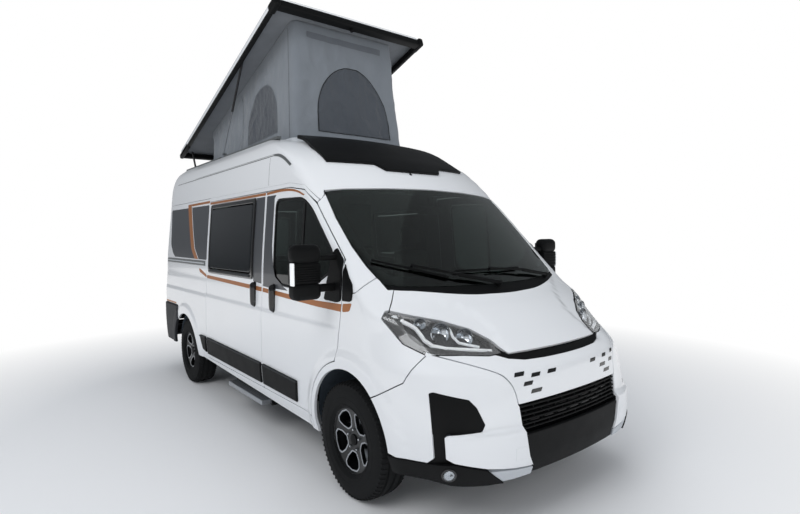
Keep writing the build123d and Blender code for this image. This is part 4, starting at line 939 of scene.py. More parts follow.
def front_end():
    """Bonnet, scuttle, windscreen, bumper, grille panel and skirt."""
    line = [(a, max(z, 0.985)) for a, z in both_sides(BONNET, plan_place)]
    panel("bonnet_skin", front, rounded(line, 0.006), WHITE, "bonnet", shape=pressing)
    screen = SCREEN_FOOT + GLASS_EDGE
    panel("windscreen_pane", front, rounded(both_sides(screen, face_place), 0.03), GLASS, depth=0.005,
          lift=-0.003, gap=0.003, roll=0.0012, step=0.06)
    inner = [(0.0, 1.40), (0.42, 1.404), (0.70, 1.414), (0.79, 1.43), (0.815, 1.49), (0.83, 1.60),
             (0.828, 1.80), (0.805, 1.955), (0.70, 1.975), (0.40, 1.99), (0.0, 1.997)]
    panel("windscreen_band", front, rounded(both_sides(screen, face_place), 0.03), GLOSS_BLACK,
          holes=[rounded(both_sides(inner, face_place), 0.05)], depth=0.002, lift=-0.010, gap=0.001,
          roll=0.0005, step=0.06)
    scuttle = SCUTTLE_FOOT + [(0.848, 1.37), (0.72, 1.355), (0.42, 1.343), (0.0, 1.338)]
    panel("scuttle_skin", front, rounded(both_sides(scuttle, face_place), 0.004), BLACK_PP, lift=-0.006,
          gap=0.001)
    # nose panel between the black strip and the grille
    strip_foot = [(0.0, 0.947), (0.20, 0.948), (0.36, 0.952), (0.45, 0.966), (0.52, 0.992)]
    nose = (both_sides(strip_foot, face_place)[:len(strip_foot)] + [above(2.53, 0.56), above(2.461, 0.695),
            above(2.328, 0.861)] + [ahead(y, z) for y, z in PANEL_SEAM] + [ahead(0.25, 0.733)])
    nose += [ahead(0.0, 0.734)] + [(-a, z) for a, z in nose[:0:-1]]
    panel("nose_panel", front, rounded(nose, 0.006), WHITE, shape=pressing)
    strip = strip_foot + [(0.53, 1.01), (0.47, 1.004), (0.30, 0.985), (0.0, 0.982)]
    panel("nose_strip", front, rounded(both_sides(strip, face_place), 0.006), BLACK_PP, lift=-0.006,
          gap=0.0005)
    for side, word in SIDES:
        corner = ([beside(side, x, z) for x, z in divided([(2.33, 1.0), (2.265, 0.853), (2.10, 0.757)])]
                  + [beside(side, x, z) for x, z in arc(*FRONT_ARCH, 48, 3, 10)]
                  + [beside(side, 2.232, 0.434), on_front(2.41, side * 0.928, 0.436),
                     on_front(2.445, side * 0.908, 0.47)]
                  + [ahead(side * y, z) for y, z in VENT_INNER + [(0.70, 0.425), (0.55, 0.408),
                                                                  (0.414, 0.395), (0.445, 0.45),
                                                                  (0.472, 0.583), (0.484, 0.724)]]
                  + [ahead(side * y, z) for y, z in PANEL_SEAM[::-1]])
        panel(f"bumper_{word}", front, rounded(corner, 0.004), WHITE, shape=pressing)
        vent = ([on_front(2.41, side * 0.928, 0.44), on_front(2.445, side * 0.908, 0.475)]
                + [ahead(side * y, z) for y, z in VENT_INNER] + [ahead(side * 0.839, 0.44)])
        overlay(f"vent_{word}", front, grown(vent, 0.004), 0.012, BLACK_PP, lift=-0.004)
        skirt = ([beside(side, 2.17, 0.434), beside(side, 2.232, 0.434), on_front(2.41, side * 0.928, 0.436),
                  ahead(side * 0.839, 0.455), ahead(side * 0.70, 0.422), ahead(side * 0.64, 0.37),
                  ahead(side * 0.60, 0.335), ahead(side * 0.75, 0.335), beside(side, 2.40, 0.335),
                  beside(side, 2.19, 0.335)])
        overlay(f"skirt_{word}", front, skirt, 0.01, BLACK_PP, lift=0.004, roll=0.004, shape=pressing)
        lip = [ahead(side * y, z) for y, z in ((0.70, 0.418), (0.55, 0.402), (0.414, 0.39), (0.419, 0.341),
                                               (0.61, 0.341))]
        panel(f"lip_{word}", front, rounded(lip, 0.006), PALE_PP, shape=pressing, lift=-0.004)
        lamp = [above(x, side * y) for x, y in LAMP]
        panel(f"headlamp_{word}_lens", front, rounded(lamp, 0.012), LENS, depth=0.003, gap=0.003,
              roll=0.0012)
        hollow = [above(x, side * y) for x, y in LAMP_HOLLOW]
        overlay(f"headlamp_{word}_bezel", front, grown(lamp, -0.002), 0.012, GLOSS_BLACK, depth=0.034,
                lift=-0.0055, roll=0.002, holes=[rounded(hollow, 0.012)])
        overlay(f"headlamp_{word}_bowl", front, grown(lamp, -0.004), 0.012, BEZEL, depth=0.01, lift=-0.045)
    grille = [(0.0, 0.731), (0.484, 0.724), (0.472, 0.583), (0.445, 0.45), (0.414, 0.39), (0.419, 0.341),
              (0.0, 0.341)]
    panel("grille_back", front, rounded(both_sides(grille, face_place), 0.006), GLOSS_BLACK, lift=-0.04,
          gap=-0.004)
    plate = [(0.0, 0.575), (0.470, 0.575), (0.445, 0.45), (0.414, 0.39), (0.419, 0.341), (0.0, 0.341)]
    panel("grille_plate", front, rounded(both_sides(plate, face_place), 0.01), BLACK_PP, lift=0.018,
          roll=0.006)


def roof():
    """Roof shell in its runs, the flat around the hatch, and the fairing over the windscreen."""
    for side, word in SIDES:
        run = [(ROOF_SPLIT, SEAM_Z), (ROOF_SPLIT, ROOF_Z), (-2.45, ROOF_Z), (-2.45, SEAM_Z)]
        panel(f"roof_side_{word}", side_chart(side), rounded(run, 0.0, 0.04), WHITE, gap=0.0, roll=0.0004,
              depth=0.02)
    half = ([beside(1, x, z, ROOF_POLE) for x, z in divided([(ROOF_SPLIT, ROOF_Z), (ROOF_SPLIT, SEAM_Z),
                                                             (0.88, 2.085), (1.115, 2.05), (1.295, 1.935)])]
            + [ahead(y, z, ROOF_POLE) for y, z in ((0.886, 1.971), (0.870, 2.006), (0.72, 2.020),
                                                   (0.40, 2.032))])
    cap = half + [ahead(0.0, 2.038, ROOF_POLE)] + [y_neg(p) for p in half[::-1]]
    cap += [ahead(y, ROOF_Z, ROOF_POLE) for y in (-0.6, -0.3, 0.0, 0.3, 0.6)]
    panel("roof_front", roof_chart, rounded(cap, 0.0, 0.03), WHITE, gap=0.0, roll=0.0004)
    tail = ([behind(1, -2.45, SEAM_Z), at_rear(0.92, SEAM_Z), at_rear(REAR_DOOR_HALF, 2.06),
             at_rear(0.43, 2.052), at_rear(0.0, 2.052), at_rear(-0.43, 2.052), at_rear(-REAR_DOOR_HALF, 2.06),
             at_rear(-0.92, SEAM_Z), behind(-1, -2.45, SEAM_Z)]
            + [behind(-1, -2.45, z) for z in np.linspace(SEAM_Z, ROOF_Z, 12)[1:]]
            + [at_rear(y, ROOF_Z) for y in (-0.62, -0.3, 0.0, 0.3, 0.62)]
            + [behind(1, -2.45, z) for z in np.linspace(ROOF_Z, SEAM_Z, 12)[:-1]])
    panel("roof_tail", rear, rounded(tail, 0.0, 0.04), WHITE, gap=0.0, roll=0.0004)
    top = [tuple(p[:2]) for p in roof_chart(np.array([(a, ROOF_Z) for a in np.linspace(-0.85, 0.85, 40)]))]
    top += [tuple(p[:2]) for p in rear(np.array([(a, ROOF_Z) for a in np.linspace(1.1, -1.1, 40)]))
            if p[0] < -1.95]
    hatch = rect(-1.88, -0.56, 0.16, 0.56)
    panel("roof_flat", lambda uv: np.stack([uv[:, 0], uv[:, 1], np.full(len(uv), ROOF_Z)], axis=1),
          rounded(top, 0.0, 0.05), WHITE, holes=[rounded(hatch, 0.03)], gap=0.0, roll=0.0004, step=0.08)
    low = [(0.0, 2.178), (0.28, 2.182), (0.34, 2.236), (0.716, 2.242)]
    over = ([ahead(y, z, ROOF_POLE) for y, z in divided(low)]
            + [ahead(y, z, ROOF_POLE) for y, z in divided([(0.716, 2.242), (0.700, 2.40), (0.640, 2.507)])]
            + [ahead(y, 2.507, ROOF_POLE) for y in (0.5, 0.25)])
    over = over + [ahead(0.0, 2.507, ROOF_POLE)] + [y_neg(p) for p in over[:0:-1]]

    def spoiler(p):
        """Extra height that rises towards the fairing's rear edge."""
        return 0.030 * ease((p[:, 2] - 2.30) / 0.20)

    panel("fairing_skin", roof_chart, rounded(over, 0.006, 0.03), FAIRING, lift=0.020, depth=0.030,
          roll=0.006, gap=0.0, shape=spoiler)
    for side, word in SIDES:
        flank = side_chart(side)
        for name, line, material, lift in (
                ("gutter", [(-2.233, 2.325), (0.55, 2.331), (0.55, 2.336), (-2.233, 2.330)], GREY_PP, 0.0012),
                ("gutter_edge", [(-1.55, 2.338), (0.55, 2.343), (0.55, 2.346), (-1.55, 2.341)], RAIL_GREY,
                 0.0012),
                ("seam", rect(0.488, 2.096, 0.491, 2.322), EPDM, 0.0006)):
            overlay(f"roof_{name}_{word}", flank, divided(line + line[:1])[:-1], 0.0, material, depth=0.001,
                    lift=lift, roll=0.0003)
        end = [beside(side, x, z, ROOF_POLE) for x, z in bowed([(0.55, 2.330), (0.65, 2.312), (0.76, 2.272),
                                                                (0.865, 2.214)])
               + bowed([(0.885, 2.228), (0.78, 2.290), (0.66, 2.334), (0.55, 2.347)])]
        panel(f"roof_gutter_end_{word}", roof_chart, np.array(end), RAIL_GREY, depth=0.002, lift=0.0015,
              gap=0.0, roll=0.0006)
    dot = [ahead(-0.06 + 0.011 * math.cos(a), 2.166 + 0.009 * math.sin(a), ROOF_POLE)
           for a in np.linspace(0, math.tau, 16, endpoint=False)]
    panel("roof_camera", roof_chart, np.array(dot), GLOSS_BLACK, depth=0.006, lift=0.006, gap=0.0, roll=0.002)


body_sides()
rear_end()
hinged_window("slide_window", side_chart(-1), SLIDE_WINDOW)
hinged_window("left_window", side_chart(1), LEFT_WINDOW)
front_end()
roof()


# ---------------------------------------------------------------- repeated pieces


def repeated(name, blank, material, body, count, place):
    """Instances of a blank made with Geometry Nodes, baked to one mesh.

    place(tree, count) adds the nodes that make the points and gives (points, rotation) sockets.
    """
    tree = bpy.data.node_groups.new(name, "GeometryNodeTree")
    tree.interface.new_socket("Blank", in_out="INPUT", socket_type="NodeSocketObject")
    tree.interface.new_socket("Count", in_out="INPUT", socket_type="NodeSocketInt")
    tree.interface.new_socket("Geometry", in_out="OUTPUT", socket_type="NodeSocketGeometry")
    given = add(tree, "NodeGroupInput")
    points, turn = place(tree, given.outputs["Count"])
    info = add(tree, "GeometryNodeObjectInfo", {"Object": given.outputs["Blank"]}, transform_space="ORIGINAL")
    inputs = {"Points": points, "Instance": info.outputs["Geometry"]}
    if turn is not None:
        inputs["Rotation"] = turn
    spread = add(tree, "GeometryNodeInstanceOnPoints", inputs)
    real = add(tree, "GeometryNodeRealizeInstances", {"Geometry": spread.outputs["Instances"]})
    dressed = add(tree, "GeometryNodeSetMaterial", {"Geometry": real.outputs["Geometry"],
                                                    "Material": material})
    result = add(tree, "NodeGroupOutput")
    tree.links.new(dressed.outputs["Geometry"], result.inputs["Geometry"])
    holder = linked(name, bpy.data.meshes.new(name))
    maker = holder.modifiers.new("repeat", "NODES")
    maker.node_group = tree
    sockets = {item.name: item.identifier for item in tree.interface.items_tree
               if item.in_out == "INPUT"}
    maker[sockets["Blank"]] = blank
    maker[sockets["Count"]] = count
    bpy.context.view_layer.update()
    graph = bpy.context.evaluated_depsgraph_get()
    mesh = bpy.data.meshes.new_from_object(holder.evaluated_get(graph))
    holder.modifiers.clear()
    old = holder.data
    holder.data = mesh
    bpy.data.meshes.remove(old)
    bpy.data.objects.remove(blank)
    mesh.materials.clear()
    mesh.materials.append(material)
    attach(holder, body)
    return holder


def round_axle(centre, radius):
    """Points round an axle that lies along Y, each turned to face outward."""
    def place(tree, count):
        ring = add(tree, "GeometryNodeMeshCircle", {"Vertices": count, "Radius": radius})
        up = add(tree, "GeometryNodeTransform", {"Geometry": ring.outputs["Mesh"], "Translation": centre,
                                                 "Rotation": (math.pi / 2, 0.0, 0.0)})
        index = add(tree, "GeometryNodeInputIndex")
        share = add(tree, "ShaderNodeMath", {0: index.outputs["Index"], 1: count}, operation="DIVIDE")
        angle = add(tree, "ShaderNodeMath", {0: share.outputs["Value"], 1: -math.tau}, operation="MULTIPLY")
        turn = add(tree, "ShaderNodeCombineXYZ", {"Y": angle.outputs["Value"]})
        return up.outputs["Geometry"], turn.outputs["Vector"]
    return place


# ---------------------------------------------------------------- wheels


def wheel(place, x, y, body):
    """Tyre with shoulder blocks and grooves, and an alloy rim with five framed openings."""
    side = 1 if y > 0 else -1
    centre = (x, y, TYRE_R)
    profile = [(-0.092, RIM_R + 0.002), (-0.110, 0.225), (-0.1125, 0.262), (-0.111, 0.300), (-0.105, 0.330),
               (-0.098, 0.350), (-0.086, 0.3600), (-0.074, 0.3625), (-0.062, 0.3690), (-0.058, 0.3600),
               (-0.050, 0.3600), (-0.046, 0.3705), (-0.012, 0.3715), (-0.008, 0.3615), (0.008, 0.3615),
               (0.012, 0.3715), (0.046, 0.3705), (0.050, 0.3600), (0.058, 0.3600), (0.062, 0.3690),
               (0.074, 0.3625), (0.086, 0.3600), (0.098, 0.350), (0.105, 0.330), (0.111, 0.300),
               (0.1125, 0.262), (0.110, 0.225), (0.092, RIM_R + 0.002), (0.086, RIM_R + 0.006),
               (-0.086, RIM_R + 0.006)]
    turned(f"tyre_{place}_carcass", profile, centre, 112, RUBBER, body, 28)
    for hand in (1, -1):
        bm = bmesh.new()
        block(bm, (-0.0062, -0.017, -0.022), (0.0062, 0.017, 0.0075), 0.002)
        for v in bm.verts:
            v.co.z -= 0.35 * abs(v.co.y + hand * 0.017) * (1 if v.co.y * hand > 0 else 0)
        blank = from_bmesh("blank", bm, RUBBER, None)
        blank.data.transform(Matrix.Rotation(math.pi / 2, 4, "Y"))
        repeated(f"tyre_{place}_shoulder_{'outer' if hand == side else 'inner'}", blank, RUBBER, body, 66,
                 round_axle((x, y + hand * 0.084, TYRE_R), 0.3625))
    # bead ring and sidewall ribs
    bm = bmesh.new()
    for radius, out in ((0.272, 0.1127), (0.232, 0.1118)):
        lathe(bm, [(side * (out - 0.003), radius - 0.004), (side * (out + 0.001), radius - 0.0015),
                   (side * (out + 0.001), radius + 0.0015), (side * (out - 0.003), radius + 0.004)],
              centre, 96)
    from_bmesh(f"tyre_{place}_ribs", bm, RUBBER, body, 60)
    # barrel, lip and face of the rim
    barrel = [(-0.0915, 0.2200), (-0.0915, 0.2120), (-0.078, 0.2032), (-0.060, 0.2000), (-0.045, 0.1850),
              (0.030, 0.1850), (0.062, 0.1960), (0.080, 0.2010), (0.086, 0.2100), (0.0915, 0.2150),
              (0.0915, 0.2200), (0.080, 0.2080), (0.060, 0.2050), (-0.060, 0.2050), (-0.080, 0.2080)]
    turned(f"rim_{place}_barrel", barrel, centre, 96, ALLOY_BLACK, body, 30, side)
    turned(f"rim_{place}_lip", [(0.0868, 0.2085), (0.0922, 0.2140), (0.0926, 0.2180), (0.0905, 0.2195),
                                (0.085, 0.2120)], centre, 96, ALLOY_CUT, body, 40, side)

    def face(uv):
        radius = np.hypot(uv[:, 0], uv[:, 1])
        out = 0.060 + 0.020 * np.clip((radius - 0.06) / 0.13, 0, 1) ** 2
        return np.stack([x + uv[:, 0], np.full(len(uv), y) + side * out, TYRE_R + uv[:, 1]], axis=1)

    def polar(radius, degrees):
        a = math.radians(degrees)
        return (radius * math.cos(a), radius * math.sin(a))

    opening = ((0.088, -15), (0.083, 0), (0.088, 15), (0.135, 25), (0.172, 24), (0.186, 17), (0.188, 0),
               (0.186, -17), (0.172, -24), (0.135, -25))
    holes = [[polar(radius, 72 * k + 54 + off) for radius, off in opening] for k in range(5)]
    disc = rounded([polar(0.2045, a) for a in range(0, 360, 6)], 0.0, 0.02)
    panel(f"rim_{place}_face", face, disc, ALLOY_BLACK, body,
          holes=[rounded(h, 0.006, 0.02) for h in holes], depth=0.026, gap=0.0, roll=0.004, step=0.014)
    for k, hole in enumerate(holes):
        panel(f"rim_{place}_cut_{k}", face, rounded(grown(hole, 0.0095), 0.009, 0.02), ALLOY_CUT, body,
              holes=[rounded(grown(hole, 0.0005), 0.006, 0.02)], depth=0.003, lift=0.0008, gap=0.0,
              roll=0.0006, step=0.03)
    bm = bmesh.new()
    for k in range(5):
        bx, bz = polar(0.065, 72 * k + 18)
        lathe_at = (x + bx, y, TYRE_R + bz)
        lathe(bm, [(side * 0.048, 0.0105), (side * 0.066, 0.0105), (side * 0.072, 0.0085),
                   (side * 0.0735, 0.004), (side * 0.0735, 0.0006), (side * 0.048, 0.0006)], lathe_at, 6)
    from_bmesh(f"rim_{place}_bolts", bm, CHROME, body, 20)
    turned(f"rim_{place}_cap", [(0.0618, 0.036), (0.064, 0.036), (0.0685, 0.033), (0.0700, 0.020),
                                (0.0705, 0.0006), (0.0618, 0.0006)], centre, 48, BLACK_PP, body, 40, side)
    bm = bmesh.new()
    lathe(bm, [(side * -0.02, 0.145), (side * 0.004, 0.145), (side * 0.006, 0.143), (side * 0.006, 0.07),
               (side * 0.02, 0.065), (side * 0.02, 0.0006), (side * -0.02, 0.0006)], centre, 64)
    block(bm, (x - 0.15, y - 0.03, TYRE_R - 0.06), (x - 0.085, y + 0.03, TYRE_R + 0.06), 0.008)
    from_bmesh(f"rim_{place}_brake", bm, STEEL, body, 30)


for end, wheel_x, wheel_y in (("front", FRONT_AXLE_X, 0.905), ("rear", REAR_AXLE_X, 0.895)):
    for hand, word in SIDES:
        wheel(f"{end}_{word}", wheel_x, hand * wheel_y, f"wheel_{end}_{word}")


# ---------------------------------------------------------------- lamps and grille
LIGHT_GUIDE = [(2.150, 0.897), (2.195, 0.864), (2.225, 0.845), (2.256, 0.836), (2.285, 0.832),
               (2.330, 0.810), (2.384, 0.756), (2.427, 0.693), (2.470, 0.613), (2.511, 0.518)]
LIGHT_BLADE = [(2.289, 0.668), (2.321, 0.661), (2.360, 0.676), (2.400, 0.668), (2.431, 0.626),
               (2.466, 0.571)]
GUIDE_SUNK = 0.014        # how far the light guides lie below the lens


def lamps():
    """Headlamp innards: three chrome reflectors, the light guides and their rear tip."""
    for side, word in SIDES:
        for k, (x, y, size) in enumerate(((2.232, 0.812, 0.040), (2.322, 0.732, 0.062),
                                          (2.402, 0.618, 0.058))):
            place = above(x, side * y)
            base = front(np.array([place]))[0]
            normal = chart_normals(front, np.array([place]))[0]
            axis = (Vector(normal) * 0.25 + Vector((1.0, side * 0.35, -0.1))).normalized()
            spin = axis.to_track_quat("Y", "Z").to_matrix().to_4x4()
            bm = bmesh.new()
            lathe(bm, [(-0.020, size), (-0.036, size * 0.92), (-0.060, size * 0.62), (-0.072, size * 0.22),
                       (-0.072, 0.0008), (-0.066, 0.0008), (-0.060, size * 0.20), (-0.048, size * 0.55),
                       (-0.030, size * 0.84), (-0.016, size * 0.90)], (0, 0, 0), 40)
            lathe(bm, [(-0.064, 0.011), (-0.040, 0.010), (-0.032, 0.0006), (-0.064, 0.0006)], (0, 0, 0), 24)
            for v in bm.verts:
                v.co = Vector(base) + spin @ v.co
            from_bmesh(f"headlamp_{word}_reflector_{k}", bm, CHROME, "body", 40)
        for name, path, width in (("guide", LIGHT_GUIDE, 0.0125), ("blade", LIGHT_BLADE, 0.008)):
            outline = [above(x, side * y) for x, y in path]
            line = [Vector(front(np.array([q]))[0])
                    - Vector(chart_normals(front, np.array([q]))[0]) * GUIDE_SUNK for q in outline]
            bm = bmesh.new()
            smooth = []
            for a, b in zip(line, line[1:]):
                smooth += [a.lerp(b, t / 4) for t in range(4)]
            sweep(bm, smooth + [line[-1]], width, 10)
            from_bmesh(f"headlamp_{word}_{name}", bm, LIGHT_BAR, "body", 50)
        tip = [above(x, side * y) for x, y in ((2.072, 0.940), (2.083, 0.950), (2.125, 0.918), (2.165, 0.880),
                                               (2.150, 0.868), (2.112, 0.900))]
        panel(f"headlamp_{word}_tip", front, rounded(tip, 0.008), LIGHT_BAR, depth=0.008, lift=-0.007)


lamps()


def grille():
    """Six slats with uprights, the marks in the nose panel, tow eye covers and fog lamps."""
    for row in range(6):
        z = 0.588 + row * 0.0245
        half = 0.470 + row * 0.0022
        line = [ahead(*p) for p in shared(rect(-half, z, half, z + 0.011), 8)]
        panel(f"grille_slat_{row}", front, np.array(line), BLACK_PP, depth=0.022,
              lift=-0.006 + 0.002 * (row % 2), gap=0.0, roll=0.003)
    bm = bmesh.new()
    for k in range(-7, 8):
        y = k * 0.062
        for row in range(5):
            if (k + row) % 2:
                continue
            z = 0.596 + row * 0.0245
            x = float(front_x(y, z)[0])
            block(bm, (x - 0.034, y - 0.0035, z), (x - 0.012, y + 0.0035, z + 0.02), 0.0015, 1)
    from_bmesh("grille_uprights", bm, BLACK_PP, "body")
    marks = [(-0.455, 0.891, 0.062), (-0.335, 0.874, 0.062), (-0.200, 0.876, 0.066), (-0.402, 0.835, 0.060),
             (-0.345, 0.788, 0.075), (0.230, 0.871, 0.058), (0.385, 0.876, 0.046), (0.510, 0.885, 0.036),
             (0.345, 0.824, 0.066), (0.468, 0.838, 0.044), (0.392, 0.783, 0.070)]
    for k, (y, z, width) in enumerate(marks):
        width, lean = width * 1.12, 0.007
        shape = [(y - width / 2 - lean, z - 0.0112), (y + width / 2 - lean, z - 0.0112),
                 (y + width / 2 + lean, z + 0.0112), (y - width / 2 + lean, z + 0.0112)]
        panel(f"nose_mark_{k}", front, rounded([ahead(a, b) for a, b in shape], 0.003, 0.02), GLOSS_BLACK,
              depth=0.004, lift=0.0015, gap=0.0, roll=0.0012, shape=pressing)
    cover = rect(0.472, 0.446, 0.550, 0.516)
    for side, word in SIDES:
        ring = [ahead(side * a, b) for a, b in cover]
        panel(f"tow_cover_{word}", front, rounded(ring, 0.004, 0.02), WHITE, depth=0.004, lift=0.0014,
              gap=0.0012, roll=0.001, shape=pressing)
        lamp = [ahead(side * (0.853 + 0.020 * math.cos(a)), 0.398 + 0.029 * math.sin(a))
                for a in np.linspace(0, math.tau, 24, endpoint=False)]
        ring = [ahead(side * (0.853 + 0.027 * math.cos(a)), 0.398 + 0.037 * math.sin(a))
                for a in np.linspace(0, math.tau, 24, endpoint=False)]
        panel(f"fog_lamp_{word}_ring", front, np.array(ring), GLOSS_BLACK, depth=0.01, lift=0.0065, gap=0.0,
              roll=0.002, shape=pressing, holes=[np.array(lamp)])
        panel(f"fog_lamp_{word}_cup", front, np.array(lamp), CHROME, depth=0.01, lift=0.0045, gap=0.003,
              shape=pressing)
        panel(f"fog_lamp_{word}_lens", front, np.array(lamp), LENS, depth=0.003, lift=0.0095, gap=0.0,
              roll=0.002, shape=pressing)


grille()


# ---------------------------------------------------------------- mirrors, handles, strips


def mirrors():
    """Two-armed mirror with a ribbed back, an indicator on its outer edge and a triangular foot."""
    for side, word in SIDES:
        body = f"cab_door_{word}"
        foot = [(1.690, 1.515), (1.697, 1.40), (1.690, 1.262), (1.640, 1.248), (1.475, 1.252), (1.505, 1.34),
                (1.560, 1.545), (1.600, 1.602)]
        overlay(f"mirror_{word}_foot", side_chart(side), foot, 0.02, BLACK_PP, body, depth=0.012, lift=0.012,
                roll=0.009, shape=pressing)
        trim = [beside(side, x, z) for x, z in divided([(1.706, 1.262), (1.706, 1.498), (1.775, 1.413),
                                                        (1.812, 1.375), (1.828, 1.33), (1.818, 1.276),
                                                        (1.79, 1.264)])]
        panel(f"mirror_{word}_trim", front, rounded(trim, 0.006), BLACK_PP, "body", depth=0.006,
              lift=0.009, roll=0.006, gap=0.001, shape=pressing)
        # two arms, then the case: domed cap, ribbed middle and fuller foot
        blocks(f"mirror_{word}_case",
               [((1.580, side * 0.985, 1.322), (1.634, side * 1.15, 1.372), 0.016, 4),
                ((1.584, side * 0.985, 1.520), (1.630, side * 1.15, 1.556), 0.014, 4),
                ((1.548, side * 1.124, 1.500), (1.664, side * 1.321, 1.626), 0.046, 6),
                ((1.556, side * 1.134, 1.380), (1.650, side * 1.314, 1.512), 0.010, 3),
                ((1.548, side * 1.128, 1.279), (1.662, side * 1.318, 1.388), 0.036, 6)], BLACK_PP, body, 40)
        y = side * 1.222
        blocks(f"mirror_{word}_ribs", [((1.644, y - 0.088, z), (1.6575, y + 0.088, z + 0.008), 0.0032, 2)
                                       for z in (1.391 + row * 0.0142 for row in range(8))], BLACK_PP, body)
        y = side * 1.319
        blocks(f"mirror_{word}_indicator", [((1.606, y - 0.007, 1.372), (1.650, y + 0.007, 1.512), 0.006, 3)],
               LIGHT_BAR, body)
        y = side * 1.3185
        blocks(f"mirror_{word}_amber", [((1.620, y - 0.005, 1.42), (1.638, y + 0.0055, 1.46), 0.003, 2)],
               AMBER, body)
        y = side * 1.2225
        blocks(f"mirror_{word}_glass",
               [((1.5455, y - 0.078, 1.400), (1.5515, y + 0.078, 1.590), 0.0025, 2),
                ((1.5455, y - 0.072, 1.306), (1.5515, y + 0.072, 1.368), 0.0025, 2)], CHROME, body)


mirrors()


def handle(name, side, x, low, high, body):
    """An upright pull handle: a black pill on a raised plate, hollowed at its front edge."""
    flank = side_chart(side)
    line = rect(x - 0.031, low, x + 0.031, high)
    panel(name + "_plate", flank, rounded(line, 0.029, 0.02), BLACK_PP, body, depth=0.008, lift=0.006,
          gap=0.0, roll=0.005, shape=pressing)
    y = float(side_y(x, (low + high) / 2)[0])
    bm = bmesh.new()
    rings = []
    for t in np.linspace(0, 1, 25):
        end = math.sqrt(max(0.0, 1 - (abs(2 * t - 1)) ** 6))
        z = low + 0.006 + (high - low - 0.012) * t
        wide, bow = 0.0285 * (0.25 + 0.75 * end), 0.034 * (0.35 + 0.65 * end)
        ring = []
        for a in np.linspace(0, math.tau, 28, endpoint=False):
            c, out = math.cos(a), math.sin(a)
            scoop = 0.010 * math.exp(-((c - 0.75) / 0.25) ** 2) * end if out > 0 else 0.0
            stand = max(0.0, bow * max(out, 0.0) ** 0.7 - scoop)
            ring.append((x + wide * math.copysign(abs(c) ** 0.8, c),
                         side * (y + stand + (0.004 if out > 0 else 0.0)), z))
        rings.append(ring)
    loft_rings(bm, rings)
    from_bmesh(name + "_grip", bm, GLOSS_BLACK, body, 50)


handle("slide_door_handle", -1, 0.299, 1.087, 1.301, "body")
handle("cab_door_right_handle", -1, 0.680, 1.080, 1.305, "cab_door_right")
handle("cab_door_left_handle", 1, 0.680, 1.080, 1.305, "cab_door_left")


def strips():
    """Rub strips along the doors and sills, and the sliding door's rail."""
    for side, word in SIDES:
        flank = side_chart(side)
        for name, line, body in (
                ("front", [(0.475, 0.635), (1.089, 0.622), (1.074, 0.462), (0.475, 0.466)],
                 f"cab_door_{word}"),
                ("middle", [(-0.94, 0.644), (0.435, 0.636), (0.435, 0.466), (-0.94, 0.470)], "body"),
                ("rear", [(-1.173, 0.639), (-0.99, 0.645), (-0.99, 0.478), (-1.089, 0.498)], "body")):
            overlay(f"rub_{name}_{word}", flank, line, 0.008, BLACK_PP, body, depth=0.016, lift=0.016,
                    roll=0.006, shape=pressing)
            top = [line[0], line[1], (line[1][0], line[1][1] - 0.013), (line[0][0], line[0][1] - 0.013)]
            overlay(f"rub_{name}_{word}_edge", flank, top, 0.003, GREY_PP, body, depth=0.006, lift=0.019,
                    roll=0.003, shape=pressing)
    right = side_chart(-1)
    rail = [(-2.48, 1.383), (-1.02, 1.381), (-1.02, 1.434), (-2.48, 1.434)]
    overlay("slide_rail", right, rail, 0.006, RAIL_GREY, depth=0.012, lift=0.009, roll=0.005)
    groove = [(-2.47, 1.402), (-1.04, 1.400), (-1.04, 1.413), (-2.47, 1.413)]
    overlay("slide_rail_groove", right, groove, 0.002, PALE_PP, depth=0.004, lift=0.0105, roll=0.002)


strips()


